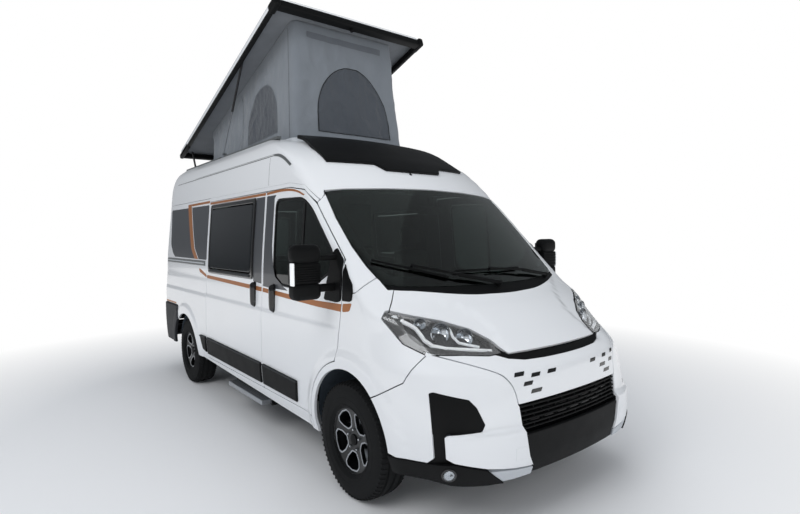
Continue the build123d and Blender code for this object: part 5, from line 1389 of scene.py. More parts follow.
def films():
    """Anthracite and copper films on the flanks."""
    for side, word in SIDES:
        door, flank = f"cab_door_{word}", side_chart(side)

        def film(name, outline, material, body="body", radius=0.002, lift=0.0007):
            """One strip of film on the flank."""
            overlay(f"film_{name}_{word}", flank, outline, radius, material, body, depth=0.0006, lift=lift,
                    roll=0.0002, shape=pressing)

        film("rear_panel", [(-2.432, 2.026), (-2.383, 1.596), (-2.29, 1.50), (-2.185, 1.451),
                            (-0.985, 1.445), (-0.985, 2.016)], FILM, radius=0.02)
        kink = [(-1.741, 2.038), (-1.640, 1.78), (-1.533, 1.56), (-1.391, 1.445), (-1.272, 1.445),
                (-1.420, 1.56), (-1.520, 1.78), (-1.612, 2.038)]
        film("kink", kink, COPPER, radius=0.03, lift=0.0012)
        film("kink_edge", [(-1.606, 2.03), (-1.514, 1.78), (-1.414, 1.56), (-1.266, 1.445), (-1.250, 1.445),
                           (-1.398, 1.56), (-1.500, 1.78), (-1.594, 2.03)], WHITE, radius=0.01, lift=0.0014)
        film("top_rear", [(-1.741, 2.034), (-0.972, 2.036), (-0.972, 2.060), (-1.741, 2.058)], COPPER)
        film("top_middle", rect(-0.955, 2.018, 0.445, 2.040), COPPER)
        under = bowed([(0.468, 2.018), (0.70, 2.026), (0.88, 2.022), (1.01, 2.003), (1.11, 1.972)], 5)
        over = bowed([(1.13, 1.978), (1.02, 2.016), (0.885, 2.040), (0.70, 2.046), (0.468, 2.040)], 5)
        film("top_front", under + over, COPPER, door, radius=0.0)
        low = [(-1.233, 1.347), (-1.20, 1.310), (-1.10, 1.290), (-0.975, 1.262), (-0.975, 1.292),
               (-1.10, 1.325), (-1.18, 1.345)]
        film("low_rear", low, COPPER, radius=0.01)
        film("low_middle", [(-0.955, 1.257), (0.367, 1.228), (0.445, 1.226), (0.445, 1.262), (0.367, 1.264),
                            (-0.955, 1.291)], COPPER)
        film("low_front", [(0.468, 1.226), (0.958, 1.209), (1.365, 1.196), (1.688, 1.193), (1.694, 1.242),
                           (1.365, 1.236), (0.958, 1.245), (0.468, 1.260)], COPPER, door)
        corner = [behind(side, x, z) for x, z in divided([(-2.08, 0.884), (-2.53, 0.884), (-2.53, 0.902),
                                                          (-2.10, 0.902)])]
        overlay(f"film_corner_{word}", rear, corner, 0.003, COPPER, depth=0.0006, lift=0.0007, roll=0.0002,
                shape=pressing)
        nose = [beside(side, x, z) for x, z in ((1.708, 1.193), (1.79, 1.205), (1.815, 1.258),
                                                (1.708, 1.246))]
        overlay(f"film_low_tip_{word}", front, nose, 0.012, COPPER, depth=0.0006, lift=0.0007, roll=0.0002,
                shape=pressing)
        film("door_front", [(0.472, 1.272), (0.585, 1.268), (0.93, 1.268), (0.84, 1.296), (0.70, 1.36),
                            (0.655, 1.45), (0.625, 1.60), (0.622, 1.98), (0.650, 2.008), (0.472, 2.008)],
             FILM, door, radius=0.01)
        film("door_rear", [(0.262, 1.300), (0.438, 1.290), (0.438, 2.008), (0.262, 2.008)], FILM)


films()


def on_tail(name, side, corners, radius, material, body="body", **sizes):
    """A thin piece on the tail, its outline given across and up."""
    overlay(name, rear, [at_rear(side * y, z) for y, z in corners], radius, material, body, **sizes)


def rear_details():
    """Hinges, raised brake lamps, swages and reflectors; plate recess, lamp bar, handle and step strip."""
    for side, word in SIDES:
        door = f"rear_door_{word}"
        for k, z in enumerate((0.78, 1.24, 1.90)):
            on_tail(f"rear_hinge_{word}_{k}", side, rect(0.835, z - 0.045, 0.855, z + 0.045), 0.006, WHITE,
                    door, depth=0.01, lift=0.010, roll=0.005)
        on_tail(f"high_brake_lamp_{word}", side, rect(0.06, 2.012, 0.30, 2.034), 0.008, RED_LENS, door,
                depth=0.012, lift=0.010, roll=0.004)
        sunk = [at_rear(side * y, z) for y, z in rect(0.085, 0.675, 0.785, 1.285)]
        on_tail(door + "_swage", side, rect(0.07, 0.66, 0.80, 1.30), 0.05, WHITE, door, depth=0.004,
                lift=0.004, roll=0.004, holes=[rounded(sunk, 0.04)])
        on_tail(f"rear_reflector_{word}", side, rect(0.70, 0.505, 0.82, 0.545), 0.008, RED_LENS,
                depth=0.006, lift=0.017, roll=0.003)
    on_tail("plate_recess", 1, rect(0.13, 0.93, 0.69, 1.08), 0.012, BLACK_PP, "rear_door_left", depth=0.006,
            lift=0.006, roll=0.004)
    on_tail("plate_lamp_bar", 1, [(0.10, 1.095), (0.72, 1.095), (0.70, 1.145), (0.12, 1.145)], 0.014, WHITE,
            "rear_door_left", depth=0.02, lift=0.022, roll=0.010)
    on_tail("rear_handle_cup", 1, rect(-0.16, 1.02, -0.045, 1.075), 0.012, BLACK_PP, "rear_door_right",
            depth=0.006, lift=0.005, roll=0.003)
    on_tail("rear_handle_lever", 1, rect(-0.152, 1.035, -0.053, 1.062), 0.01, GLOSS_BLACK,
            "rear_door_right", depth=0.012, lift=0.020, roll=0.006)
    tread = [at_rear(y, z) for y, z in rect(-0.80, 0.572, 0.80, 0.592)]
    panel("rear_step_strip", rear, np.array(shared(tread, 12)), BLACK_PP, depth=0.006, lift=0.016, gap=0.0,
          roll=0.003)


rear_details()


# ---------------------------------------------------------------- raised roof
LID_REAR = (-2.530, 2.712)          # lower rear edge of the raised lid, x and z
LID_LEAN = math.radians(17.5)
LID_LENGTH = 3.060
LID_HALF = 0.815
LID_FRAME = Matrix.Translation((LID_REAR[0], 0, LID_REAR[1])) @ Matrix.Rotation(-LID_LEAN, 4, "Y")


def lid_point(along, across, up):
    """A place given along, across and above the lid's lower rear edge."""
    return LID_FRAME @ Vector((along, across, up))


def pop_lid():
    """Crowned lid with a black frame under its edge, beams, corner caps, latch knob and quilted lining."""
    def crown(along, across):
        """Rise of the top skin."""
        a = 1 - abs(2 * along / LID_LENGTH - 1) ** 4
        b = 1 - abs(across / LID_HALF) ** 4
        return 0.020 * a * b

    def loop(inset, up):
        """A rounded loop of the lid, drawn in by an inset and raised."""
        points, count = [], 10
        x0, x1, y1 = inset, LID_LENGTH - inset, LID_HALF - inset
        corner = max(0.012, 0.075 - inset)
        for cx, cy, start in ((x1 - corner, y1 - corner, 0), (x0 + corner, y1 - corner, 90),
                              (x0 + corner, -y1 + corner, 180), (x1 - corner, -y1 + corner, 270)):
            points += [(cx + corner * math.cos(math.radians(start + 90 * k / count)),
                        cy + corner * math.sin(math.radians(start + 90 * k / count)), up)
                       for k in range(count + 1)]
        out = []
        for a, b in zip(points, points[1:] + points[:1]):
            parts = max(1, int(math.dist(a, b) / 0.12))
            out += [tuple(a[i] + (b[i] - a[i]) * k / parts for i in range(3)) for k in range(parts)]
        return out

    bm = bmesh.new()
    # skin: a narrow lip under the lower edge, then up the side and over the crowned top
    levels = [(0.022, 0.020), (0.004, 0.020), (0.0, 0.026), (0.0, 0.060), (0.004, 0.076), (0.014, 0.088),
              (0.032, 0.0945)]
    rings = [loop(inset, up) for inset, up in levels]
    edge = rings[-1]
    for t in (k / 9 for k in range(1, 9)):
        ring = [(x + (LID_LENGTH / 2 - x) * t, y * (1 - t)) for x, y, _ in edge]
        rings.append([(x, y, levels[-1][1] + crown(x, y)) for x, y in ring])
    bm.faces.new(bridge(bm, [[lid_point(*p) for p in ring] for ring in rings])[-1])
    top = from_bmesh("lid_skin", bm, WHITE, "roof_lid", 40)
    # black frame: an angle section round the lower edge
    bm = bmesh.new()
    section = [(0.0, 0.0), (-0.003, 0.004), (-0.003, 0.022), (0.004, 0.024), (0.020, 0.024), (0.020, 0.066),
               (0.026, 0.066), (0.026, 0.0)]
    bridge(bm, [[lid_point(*p) for p in loop(inset, up)] for inset, up in section], True)
    from_bmesh("lid_edge_frame", bm, BLACK_PP, "roof_lid", 40)
    # lining with soft quilted bays
    bm = bmesh.new()
    nu, nv = 120, 66
    grid = []
    for i in range(nu + 1):
        row = []
        for k in range(nv + 1):
            u = 0.026 + (LID_LENGTH - 0.052) * i / nu
            v = (LID_HALF - 0.026) * (2 * k / nv - 1)
            quilt = abs(math.sin(math.pi * u / 0.17)) * abs(math.sin(math.pi * (v + 0.8) / 0.17))
            row.append(bm.verts.new(lid_point(u, v, 0.066 - 0.006 * quilt ** 0.4)))
        grid.append(row)
    back = [[bm.verts.new(lid_point(0.026 + (LID_LENGTH - 0.052) * i / nu,
                                    (LID_HALF - 0.026) * (2 * k / nv - 1), 0.0725)) for k in range(nv + 1)]
            for i in range(nu + 1)]
    for rows, flip in ((grid, True), (back, False)):
        for i in range(nu):
            for k in range(nv):
                quad = (rows[i][k], rows[i + 1][k], rows[i + 1][k + 1], rows[i][k + 1])
                bm.faces.new(quad[::-1] if flip else quad)
    rim = ([(i, 0) for i in range(nu)] + [(nu, k) for k in range(nv)] + [(i, nv) for i in range(nu, 0, -1)]
           + [(0, k) for k in range(nv, 0, -1)])
    for (a, b), (c, d) in zip(rim, rim[1:] + rim[:1]):
        bm.faces.new((grid[a][b], grid[c][d], back[c][d], back[a][b]))
    from_bmesh("lid_lining", bm, HEADLINER, "roof_lid", 50)
    # front beam, side rails, corner blocks and the latch knob
    beams = [((2.985, -0.80, -0.006), (3.066, 0.80, 0.060), 0.014, 4),
             ((-0.004, -0.80, -0.004), (0.050, 0.80, 0.055), 0.012, 3)]
    for side in (1, -1):
        beams += [((2.93, side * 0.762, -0.010), (3.082, side * 0.822, 0.074), 0.020, 4),
                  ((-0.012, side * 0.772, -0.008), (0.34, side * 0.818, 0.050), 0.014, 3),
                  ((0.34, side * 0.776, -0.004), (2.93, side * 0.806, 0.030), 0.008, 2)]
    blocks("lid_beams", beams, BLACK_PP, "roof_lid", 40, LID_FRAME)
    blocks("lid_corner_caps", [((2.955, side * 0.742, 0.052), (3.005, side * 0.770, 0.086), 0.008, 2)
                               for side in (1, -1)], PALE_PP, "roof_lid", 40, LID_FRAME)
    bm = bmesh.new()
    tube(bm, lid_point(3.02, -0.03, -0.004), lid_point(3.02, -0.03, -0.030), 0.018, 20)
    from_bmesh("lid_latch_knob", bm, BLACK_PP, "roof_lid", 40)
    return top


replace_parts(pop_lid(), "roof_lid")

TENT_FOOT = (-1.950, 0.300, 0.617, 0.617)         # rear x, front x, half widths at the rear and front
TENT_HEAD = (0.600, 2.875, 0.585, 0.562)          # the same, along the lid from its rear edge
TENT_CORNER = 0.07
TENT_BASE_Z = ROOF_Z + 0.002
TENT_TOP = 0.0655         # where the cloth ends, above the lid's lower edge
TENT_MIDDLE = -0.9        # x of the middle, which the wall faces away from
TENT_SLACK = 0.016        # how far the cloth sinks in between its held edges


def tent_loop(rear_x, front_x, half_rear, half_front):
    """A rounded loop of equal arc shares, from the middle of the front round by the left."""
    corners = [(front_x, half_front), (rear_x, half_rear), (rear_x, -half_rear), (front_x, -half_front)]
    points = [(front_x, 0.0)]
    for i, at in enumerate(corners):
        before = corners[i - 1] if i else (front_x, 0.0)
        after = corners[i + 1] if i < 3 else (front_x, 0.0)
        a, p, b = Vector(before), Vector(at), Vector(after)
        one, two = p + (a - p).normalized() * TENT_CORNER, p + (b - p).normalized() * TENT_CORNER
        points += [tuple(one * (1 - t) ** 2 + p * 2 * t * (1 - t) + two * t * t)
                   for t in np.linspace(0, 1, 7)]
    return np.array(points + [(front_x, 0.0)])


FOOT_LOOP = tent_loop(*TENT_FOOT)
HEAD_LOOP = tent_loop(*TENT_HEAD)
RUNS = np.concatenate([[0], np.cumsum(np.linalg.norm(np.diff(FOOT_LOOP, axis=0), axis=1))])
TENT_GIRTH = RUNS[-1]


def tent_fold(foot, t):
    """Soft folds: drapes from the corners, creases near the hem and slack between the held edges."""
    depth = np.zeros(len(t))
    for i, ((x, y), up) in enumerate(zip(foot.tolist(), t.tolist())):
        drape = noise.fractal(Vector((x * 3.1, y * 3.1, up * 0.9 + 2.0)), 1.0, 2.0, 3)
        crease = noise.fractal(Vector((x * 9.0 + up * 2.0, y * 9.0, up * 4.0 + 7.0)), 0.9, 2.1, 4)
        ridge = 1 - abs(noise.noise(Vector((x * 6.5 - up * 3.0, y * 6.5, up * 2.6 + 11.0)))) * 2
        pull = noise.noise(Vector((x * 13.0, y * 13.0, up * 0.7 + 5.0))) * (up * 0.8 + 0.2)
        depth[i] = 0.016 * drape + 0.0085 * crease + 0.0065 * ridge ** 3 + 0.006 * pull
    return depth


def tent_wall(uv):
    """Chart of the tent's wall: run along its foot from the middle of the front, and share of its height."""
    s, t = uv[:, 0] % TENT_GIRTH, np.clip(uv[:, 1], 0, 1)
    foot = np.stack([np.interp(s, RUNS, FOOT_LOOP[:, i]) for i in (0, 1)], axis=1)
    head = np.stack([np.interp(s, RUNS, HEAD_LOOP[:, i]) for i in (0, 1)], axis=1)
    top = np.array([tuple(LID_FRAME @ Vector((a, b, TENT_TOP))) for a, b in head])
    low = np.stack([foot[:, 0], foot[:, 1], np.full(len(s), TENT_BASE_Z)], axis=1)
    p = low + (top - low) * t[:, None]
    inward = p[:, :2] - np.array([TENT_MIDDLE, 0.0])
    inward /= np.linalg.norm(inward, axis=1)[:, None] + 1e-9
    free = np.sin(np.pi * t)
    wave = tent_fold(foot, t) * np.minimum(1, free * 2.2) - TENT_SLACK * free
    p[:, :2] += inward * wave[:, None]
    return p


tent_wall.poles = (TENT_MIDDLE, TENT_MIDDLE + 0.1)


def tent():
    """One long cloth wall between roof and lid, with its gauze windows, seams, flap and hem."""
    ns, nt = 330, 56
    s = np.linspace(0, TENT_GIRTH, ns, endpoint=False)
    t = np.linspace(0, 1, nt)
    uv = np.array([(a, b) for b in t for a in s])
    outer = tent_wall(uv)
    normal = chart_normals(tent_wall, uv)
    verts = list(outer) + list(outer - normal * 0.002)
    faces, base = [], len(outer)
    for k in range(nt - 1):
        for i in range(ns):
            j = (i + 1) % ns
            a, b, c, d = k * ns + i, k * ns + j, (k + 1) * ns + j, (k + 1) * ns + i
            faces += [(a, b, c, d), (base + d, base + c, base + b, base + a)]
    for i in range(ns):
        j = (i + 1) % ns
        faces.append((base + i, base + j, j, i))
        top = (nt - 1) * ns
        faces.append((top + i, top + j, base + top + j, base + top + i))
    wall = piece("tent_wall", verts, faces, TENT, "body", smooth=True)
    extra = []

    def patch(name, outline, material, lift, radius=0.0, step=0.03, holes=()):
        """A thin piece sewn on the wall."""
        made = panel("tent_" + name, tent_wall, rounded(outline, radius, 0.03), material, "body",
                     depth=0.001, lift=lift, gap=0.0, roll=0.0004, step=step,
                     holes=[rounded(h, 0.0, 0.03) for h in holes])
        extra.append(made)

    def arch_shape(left, right, low, high):
        """An upright outline with a half round top."""
        mid, half = (left + right) / 2, (right - left) / 2
        rise = [(mid + half * math.cos(a), low + 0.16 + (high - low - 0.16) * math.sin(a))
                for a in np.linspace(0, math.pi, 22)]
        return [(left, low), (right, low)] + rise

    patch("front_gauze", arch_shape(-0.36, 0.46, 0.11, 0.68), GAUZE, 0.005, step=0.016)
    ring = arch_shape(-0.372, 0.472, 0.102, 0.692)
    patch("front_piping", ring, EPDM, 0.0062, holes=[arch_shape(-0.364, 0.464, 0.107, 0.684)])
    corner = TENT_FOOT[2]
    for side in (1, -1):
        def at(run):
            return side * (corner + run)
        gauze = [(at(a), b) for a, b in arch_shape(0.33, 1.02, 0.14, 0.70)]
        word = "left" if side == 1 else "right"
        patch(f"side_gauze_{word}", gauze, GAUZE, 0.005, step=0.016)
        line = [(at(a), b) for a, b in arch_shape(0.318, 1.032, 0.13, 0.712)]
        patch(f"side_piping_{word}", line, TENT_DARK, 0.0062,
              holes=[[(at(a), b) for a, b in arch_shape(0.328, 1.022, 0.138, 0.702)]])
        patch(f"corner_seam_{word}", rect(at(0.055), 0.03, at(0.067), 0.97), TENT_DARK, 0.0022)
        patch(f"side_seam_{word}", rect(at(1.22), 0.03, at(1.228), 0.93), TENT_DARK, 0.0022)
    patch("flap", rect(-0.47, 0.872, 0.45, 0.925), TENT_DARK, 0.004, 0.01)
    # hem rail round the foot
    uv = np.array([(a, 0.0) for a in np.linspace(0, TENT_GIRTH, 220, endpoint=False)])
    foot = tent_wall(uv)
    out = chart_normals(tent_wall, uv) * [1, 1, 0]
    bm = bmesh.new()
    section = ((0.0, 0.0), (0.012, 0.0), (0.014, 0.006), (0.014, 0.024), (0.010, 0.030), (0.0, 0.030))
    rings = [[tuple(p + n * offset + [0, 0, up]) for p, n in zip(foot, out)] for offset, up in section]
    bridge(bm, rings, True)
    from_bmesh("tent_foot_rail", bm, PALE_PP, "body", 40)
    slant = float(np.linalg.norm(np.diff(tent_wall(np.array([(0.0, 0.0), (0.0, 1.0)])), axis=0)))
    for made in [wall] + extra:
        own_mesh(made)
    return wall


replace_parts(tent(), "tent")


# ---------------------------------------------------------------- seats and cab
VOXEL = 0.011             # spacing of a pad's points before it is blown up
SWELL = 0.018             # the most that a point of a pad may move
STUFFING_FRAMES = 14


def pad(name, low, high, crown, material, lean=0.0, foot=(0.0, 0.0), channels=()):
    """A stuffed pad: a pulled-in block blown up as cloth, with sewn channels pressed in after.

    lean tips it back about its foot. channels are (axis, place, depth, width) grooves.
    """
    low, high = Vector(low), Vector(high)
    size = high - low
    bm = bmesh.new()
    bmesh.ops.create_cube(bm, size=1.0)
    bmesh.ops.subdivide_edges(bm, edges=bm.edges, cuts=15, use_grid_fill=True)
    thin = min(range(3), key=lambda i: size[i])
    for v in bm.verts:
        p = v.co * 2
        q = Vector([math.copysign(abs(c) ** 0.9, c) for c in p])
        wide = [i for i in range(3) if i != thin]
        rim = max(abs(p[wide[0]]), abs(p[wide[1]]))
        fall = 1 - 0.45 * ease(np.float64((rim - 0.55) / 0.45)) ** 2
        q[thin] *= fall
        round_off = min(abs(p[wide[0]]), abs(p[wide[1]])) ** 6
        for i in wide:
            q[i] *= 1 - 0.075 * round_off
        v.co = Vector([(low[i] + high[i]) / 2 + q[i] * (size[i] / 2 - (crown if i == thin else 0.006))
                       for i in range(3)])
    mesh = bpy.data.meshes.new(name)
    bm.to_mesh(mesh)
    bm.free()
    made = linked(name, mesh)
    remesh = made.modifiers.new("even", "REMESH")
    remesh.mode, remesh.voxel_size = "VOXEL", VOXEL
    graph = bpy.context.evaluated_depsgraph_get()
    even = bpy.data.meshes.new_from_object(made.evaluated_get(graph))
    made.modifiers.clear()
    made.data = even
    rest = np.array([v.co[:] for v in even.vertices])
    blown = made.modifiers.new("stuffing", "CLOTH")
    blown.settings.use_pressure = True
    blown.settings.uniform_pressure_force = 4.0
    blown.settings.effector_weights.gravity = 0.0
    blown.settings.quality = 4
    blown.point_cache.frame_start, blown.point_cache.frame_end = 1, STUFFING_FRAMES
    scene = bpy.context.scene
    for frame_number in range(1, STUFFING_FRAMES + 1):
        scene.frame_set(frame_number)
    graph = bpy.context.evaluated_depsgraph_get()
    swollen = bpy.data.meshes.new_from_object(made.evaluated_get(graph))
    made.modifiers.clear()
    made.data = swollen
    now = np.array([v.co[:] for v in swollen.vertices])
    move = now - rest
    reach = np.linalg.norm(move, axis=1)[:, None] + 1e-9
    now = rest + move * np.minimum(1, SWELL / reach)
    now = np.clip(now, np.array(low) - 0.004, np.array(high) + 0.004)
    for v, at in zip(swollen.vertices, now):
        v.co = at
    scene.frame_set(1)
    # sewn channels, pressed in along lines
    mesh = made.data
    for v in mesh.vertices:
        at = v.co - low
        for axis, place, depth, width in channels:
            t = (at[axis] / size[axis] - place) * size[axis] / width
            side = 1 if v.co[thin] > (low[thin] + high[thin]) / 2 else -1
            v.co[thin] -= side * depth * math.exp(-t * t)
    if lean:
        turn = (Matrix.Translation((foot[0], 0, foot[1])) @ Matrix.Rotation(-lean, 4, "Y")
                @ Matrix.Translation((-foot[0], 0, -foot[1])))
        mesh.transform(turn)
    mesh.materials.clear()
    mesh.materials.append(material)
    mesh.polygons.foreach_set("use_smooth", [True] * len(mesh.polygons))
    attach(made, "body")
    return made


def copied(made, name, shift=(0, 0, 0)):
    """The same pad again, at another place."""
    other = linked(name, made.data.copy(), "body")
    other.data.transform(Matrix.Translation(shift))
    return other


CAB_SEAT_Y = 0.42
LIVING_FLOOR_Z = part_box("seats")[0][2]


def seats():
    """Two cab seats and a bench: stuffed cushions and backs on moulded bases."""
    lines = [(1, 0.24, 0.010, 0.012), (1, 0.76, 0.010, 0.012)]
    y = -CAB_SEAT_Y
    seat = pad("cab_seat_right_cushion", (0.655, y - 0.235, 0.835), (1.125, y + 0.235, 0.955), 0.014,
               SEAT_CLOTH, channels=lines + [(0, 0.55, 0.007, 0.010)])
    back = pad("cab_seat_right_back", (0.648, y - 0.225, 0.955), (0.752, y + 0.225, 1.555), 0.012,
               SEAT_CLOTH, lean=math.radians(6), foot=(0.70, 0.955),
               channels=[(1, 0.22, 0.009, 0.012), (1, 0.78, 0.009, 0.012), (2, 0.42, 0.006, 0.010)])
    head = pad("cab_seat_right_head_rest", (0.590, y - 0.125, 1.575), (0.672, y + 0.125, 1.745), 0.010,
               SEAT_DARK)
    for made, part in ((seat, "cushion"), (back, "back"), (head, "head_rest")):
        copied(made, f"cab_seat_left_{part}", (0, 2 * CAB_SEAT_Y, 0))
    bench = pad("bench_cushion", (-0.555, 0.335, 0.865), (-0.065, 0.895, 0.958), 0.012, SEAT_CLOTH,
                channels=[(1, 0.5, 0.008, 0.012)])
    pad("bench_back", (-0.675, 0.335, 0.965), (-0.575, 0.895, 1.555), 0.012, SEAT_CLOTH,
        channels=[(1, 0.5, 0.008, 0.012)])
    bm = bmesh.new()
    for side in (1, -1):
        y = side * CAB_SEAT_Y
        block(bm, (0.72, y - 0.17, LIVING_FLOOR_Z + 0.001), (1.06, y + 0.17, 0.790), 0.02, 3)
        block(bm, (0.665, y - 0.225, 0.785), (1.10, y + 0.225, 0.846), 0.022, 3)
        for dy in (-0.06, 0.06):
            tube(bm, (0.638, y + dy, 1.53), (0.632, y + dy, 1.60), 0.007, 12)
        for dy in (-0.243, 0.243):
            block(bm, (0.72, y + dy - 0.022, 1.10), (1.00, y + dy + 0.022, 1.135), 0.015, 3)
            block(bm, (0.705, y + dy - 0.020, 0.84), (0.765, y + dy + 0.020, 0.96), 0.012, 3)
            block(bm, (0.700, y + dy - 0.012, 0.95), (0.745, y + dy + 0.012, 1.13), 0.008, 2)
    block(bm, (-0.555, 0.335, LIVING_FLOOR_Z + 0.001), (-0.065, 0.895, 0.870), 0.012, 2)
    block(bm, (-0.680, 0.335, LIVING_FLOOR_Z + 0.001), (-0.664, 0.895, 1.55), 0.004, 2)
    from_bmesh("seat_frames", bm, SEAT_DARK, "body", 40)
    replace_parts(bench, "seats")


seats()


def cab_details():
    """Divider of each cab window, inside mirror, and the dash's screen and vents."""
    for side, word in SIDES:
        flank = side_chart(side)
        bar = [(1.118, 1.283), (1.142, 1.283), (1.140, 1.962), (1.116, 1.966)]
        overlay(f"cab_door_{word}_divider", flank, bar, 0.002, EPDM, f"cab_door_{word}", depth=0.012,
                lift=-0.003, roll=0.001, step=0.05)
    blocks("inside_mirror", [((1.372, -0.115, 1.835), (1.398, 0.115, 1.905), 0.012, 4),
                             ((1.376, -0.035, 1.895), (1.412, 0.035, 1.975), 0.010, 3)], BLACK_PP, angle=40)
    blocks("dash_screen", [((1.300, -0.115, 1.205), (1.322, 0.125, 1.335), 0.008, 3)], GLOSS_BLACK, angle=40)
    vents = []
    for y in (-0.78, -0.16, 0.17, 0.76):
        vents.append(((1.262, y - 0.055, 1.105), (1.285, y + 0.055, 1.165), 0.008, 3))
        vents += [((1.256, y - 0.047, z), (1.268, y + 0.047, z + 0.005), 0.001, 1)
                  for z in (1.112 + 0.0125 * k for k in range(4))]
    blocks("dash_vents", vents, BLACK_PP, angle=40)


cab_details()


def ribbed_tread():
    """Ribs along the entry step's tread."""
    low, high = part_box("step_tread")
    places = (low[1] + 0.012 + (high[1] - low[1] - 0.03) * k / 13 for k in range(14))
    blocks("step_tread_ribs", [((low[0] + 0.012, y - 0.0035, high[2] - 0.001),
                                (high[0] - 0.012, y + 0.0035, high[2] + 0.003), 0.0012, 1) for y in places],
           ALUMINIUM, "step_tread", 40)


ribbed_tread()


def linings():
    """Wall linings of the living space, and the inner cards of the cab and rear doors."""
    for (side, word), window_line, radius in zip(SIDES, (LEFT_WINDOW, SLIDE_WINDOW), (0.05, 0.03)):
        flank = side_chart(side)
        wall = [(-2.42, 0.93), (-1.16, 0.93), (-1.16, 0.46), (0.43, 0.46), (0.43, 2.28), (-2.42, 2.28)]
        overlay(f"wall_lining_{word}", flank, wall, 0.02, LINING, depth=0.003, lift=-0.034, roll=0.001,
                holes=[rounded(window_line, radius)], step=0.09)
        door = f"cab_door_{word}"
        card = [(0.50, 0.50), (1.22, 0.50), (1.26, 0.80), (1.26, 1.26), (0.86, 1.26), (0.70, 1.275),
                (0.50, 1.275)]
        overlay(door + "_card", flank, card, 0.05, DASH_FOAM, door, depth=0.006, lift=-0.030, roll=0.003)
        blocks(door + "_armrest", [((0.62, side * 0.923, 1.02), (1.12, side * 0.978, 1.065), 0.016, 3),
                                   ((0.60, side * 0.928, 0.52), (1.14, side * 0.978, 0.66), 0.018, 3)],
               DASH_FOAM, door, 40)
        blocks(door + "_inner_latch", [((1.13, side * 0.960, 1.135), (1.235, side * 0.978, 1.165), 0.008, 2)],
               CHROME, door, 40)
        body = f"rear_door_{word}"
        trim = [at_rear(side * a, b) for a, b in rect(0.07, 0.68, 0.79, 1.34)]
        overlay(body + "_card", rear, trim, 0.04, PALE_PP, body, depth=0.004, lift=-0.028, roll=0.002)


linings()

WIPERS = [      # spindle, knee and blade holder of the arm, then the blade's two ends, across and up
    ((-0.029, 1.330), (-0.330, 1.392), (-0.614, 1.461), (-0.838, 1.510), (-0.411, 1.388)),
    ((0.634, 1.345), (0.316, 1.392), (-0.030, 1.420), (-0.330, 1.424), (0.300, 1.417))]


def off_screen(place, lift):
    """A place a little above the windscreen, given across and up."""
    y, z = place
    x, step = float(front_x(y, z)[0]), 0.002
    over, up = float(front_x(y + step, z)[0]), float(front_x(y, z + step)[0])
    slope = Vector((1.0, (x - over) / step, (x - up) / step))
    return Vector((x, y, z)) + slope.normalized() * lift


def wipers():
    """Two wipers at rest: sprung arms on their spindles, rubber blades along the windscreen's foot."""
    arms, blades = bmesh.new(), bmesh.new()
    for spindle, knee, holder, tip, heel in WIPERS:
        tube(arms, off_screen(spindle, -0.006), off_screen(spindle, 0.030), 0.017)
        sweep(arms, [off_screen(spindle, 0.024), off_screen(knee, 0.030), off_screen(holder, 0.026)], 0.0085)
        sweep(arms, [off_screen(spindle, 0.022), off_screen(knee, 0.026)], 0.0125)
        tube(arms, off_screen(holder, 0.006), off_screen(holder, 0.034), 0.011)
        line = [tuple(a + (b - a) * i / 12 for a, b in zip(tip, heel)) for i in range(13)]
        sweep(arms, [off_screen(p, 0.016) for p in line], 0.0055)
        sweep(blades, [off_screen(p, 0.0065) for p in line], 0.0035, 6)
    from_bmesh("wiper_blades", blades, RUBBER)
    return from_bmesh("wiper_arms", arms, BLACK_PP)


wipers()


# ---------------------------------------------------------------- CAD nodes
REPLACED = {        # the piece that stands in for each CAD node
    "body_side_left": "flank_left", "body_side_right": "quarter_right", "roof_panel": "roof_flat",
    "roof_fairing": "fairing_skin", "front_wings": "wing_left", "front_bumper": "bumper_left",
    "grille": "grille_plate", "headlamps": "headlamp_left_lens", "rear_bumper": "rear_bumper_skin",
    "tail_lamps": "tail_lamp_left", "windscreen": "windscreen_pane", "scuttle": "scuttle_skin",
    "sliding_door": "slide_door_skin", "wipers": "wiper_arms", "living_windows": "slide_window_pane",
    "bonnet": "bonnet_skin", "cab_door_left": "cab_door_left_skin", "cab_door_right": "cab_door_right_skin",
    "cab_glass_left": "cab_door_left_window_pane", "cab_glass_right": "cab_door_right_window_pane",
    "mirror_left": "mirror_left_case", "mirror_right": "mirror_right_case",
    "rear_door_left": "rear_door_left_skin", "rear_door_right": "rear_door_right_skin",
    "rear_glass_left": "rear_door_left_window_pane", "rear_glass_right": "rear_door_right_window_pane",
}
for place in ("front_left", "front_right", "rear_left", "rear_right"):
    REPLACED["tyre_" + place] = f"tyre_{place}_carcass"
    REPLACED["rim_" + place] = f"rim_{place}_face"
for node, stand_in in REPLACED.items():
    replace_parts(bpy.data.objects[stand_in], node)

FINISH = {          # the CAD nodes that show as they are
    BLACK_PP: ("step_housing",), RAIL_GREY: ("roof_rails",), GREY_PP: ("underfloor_tanks", "floor_pan"),
    CAST: ("engine", "knuckle_left", "knuckle_right"), LINER: ("arch_liners",),
    DARK_STEEL: ("chassis_frame", "front_subframe", "rear_axle", "leaf_springs", "suspension_struts",
                 "lift_arms", "strut_tubes", "firewall"),
    STEEL: ("strut_rods", "silencer"), ALUMINIUM: ("radiator", "step_tread"),
    OAK_BOARD: ("furniture",), DASH_FOAM: ("dashboard", "steering_wheel"),
}
for material, nodes in FINISH.items():
    for node in nodes:
        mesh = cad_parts[node].data
        mesh.materials.clear()
        mesh.materials.append(material)

# ---------------------------------------------------------------- light and camera


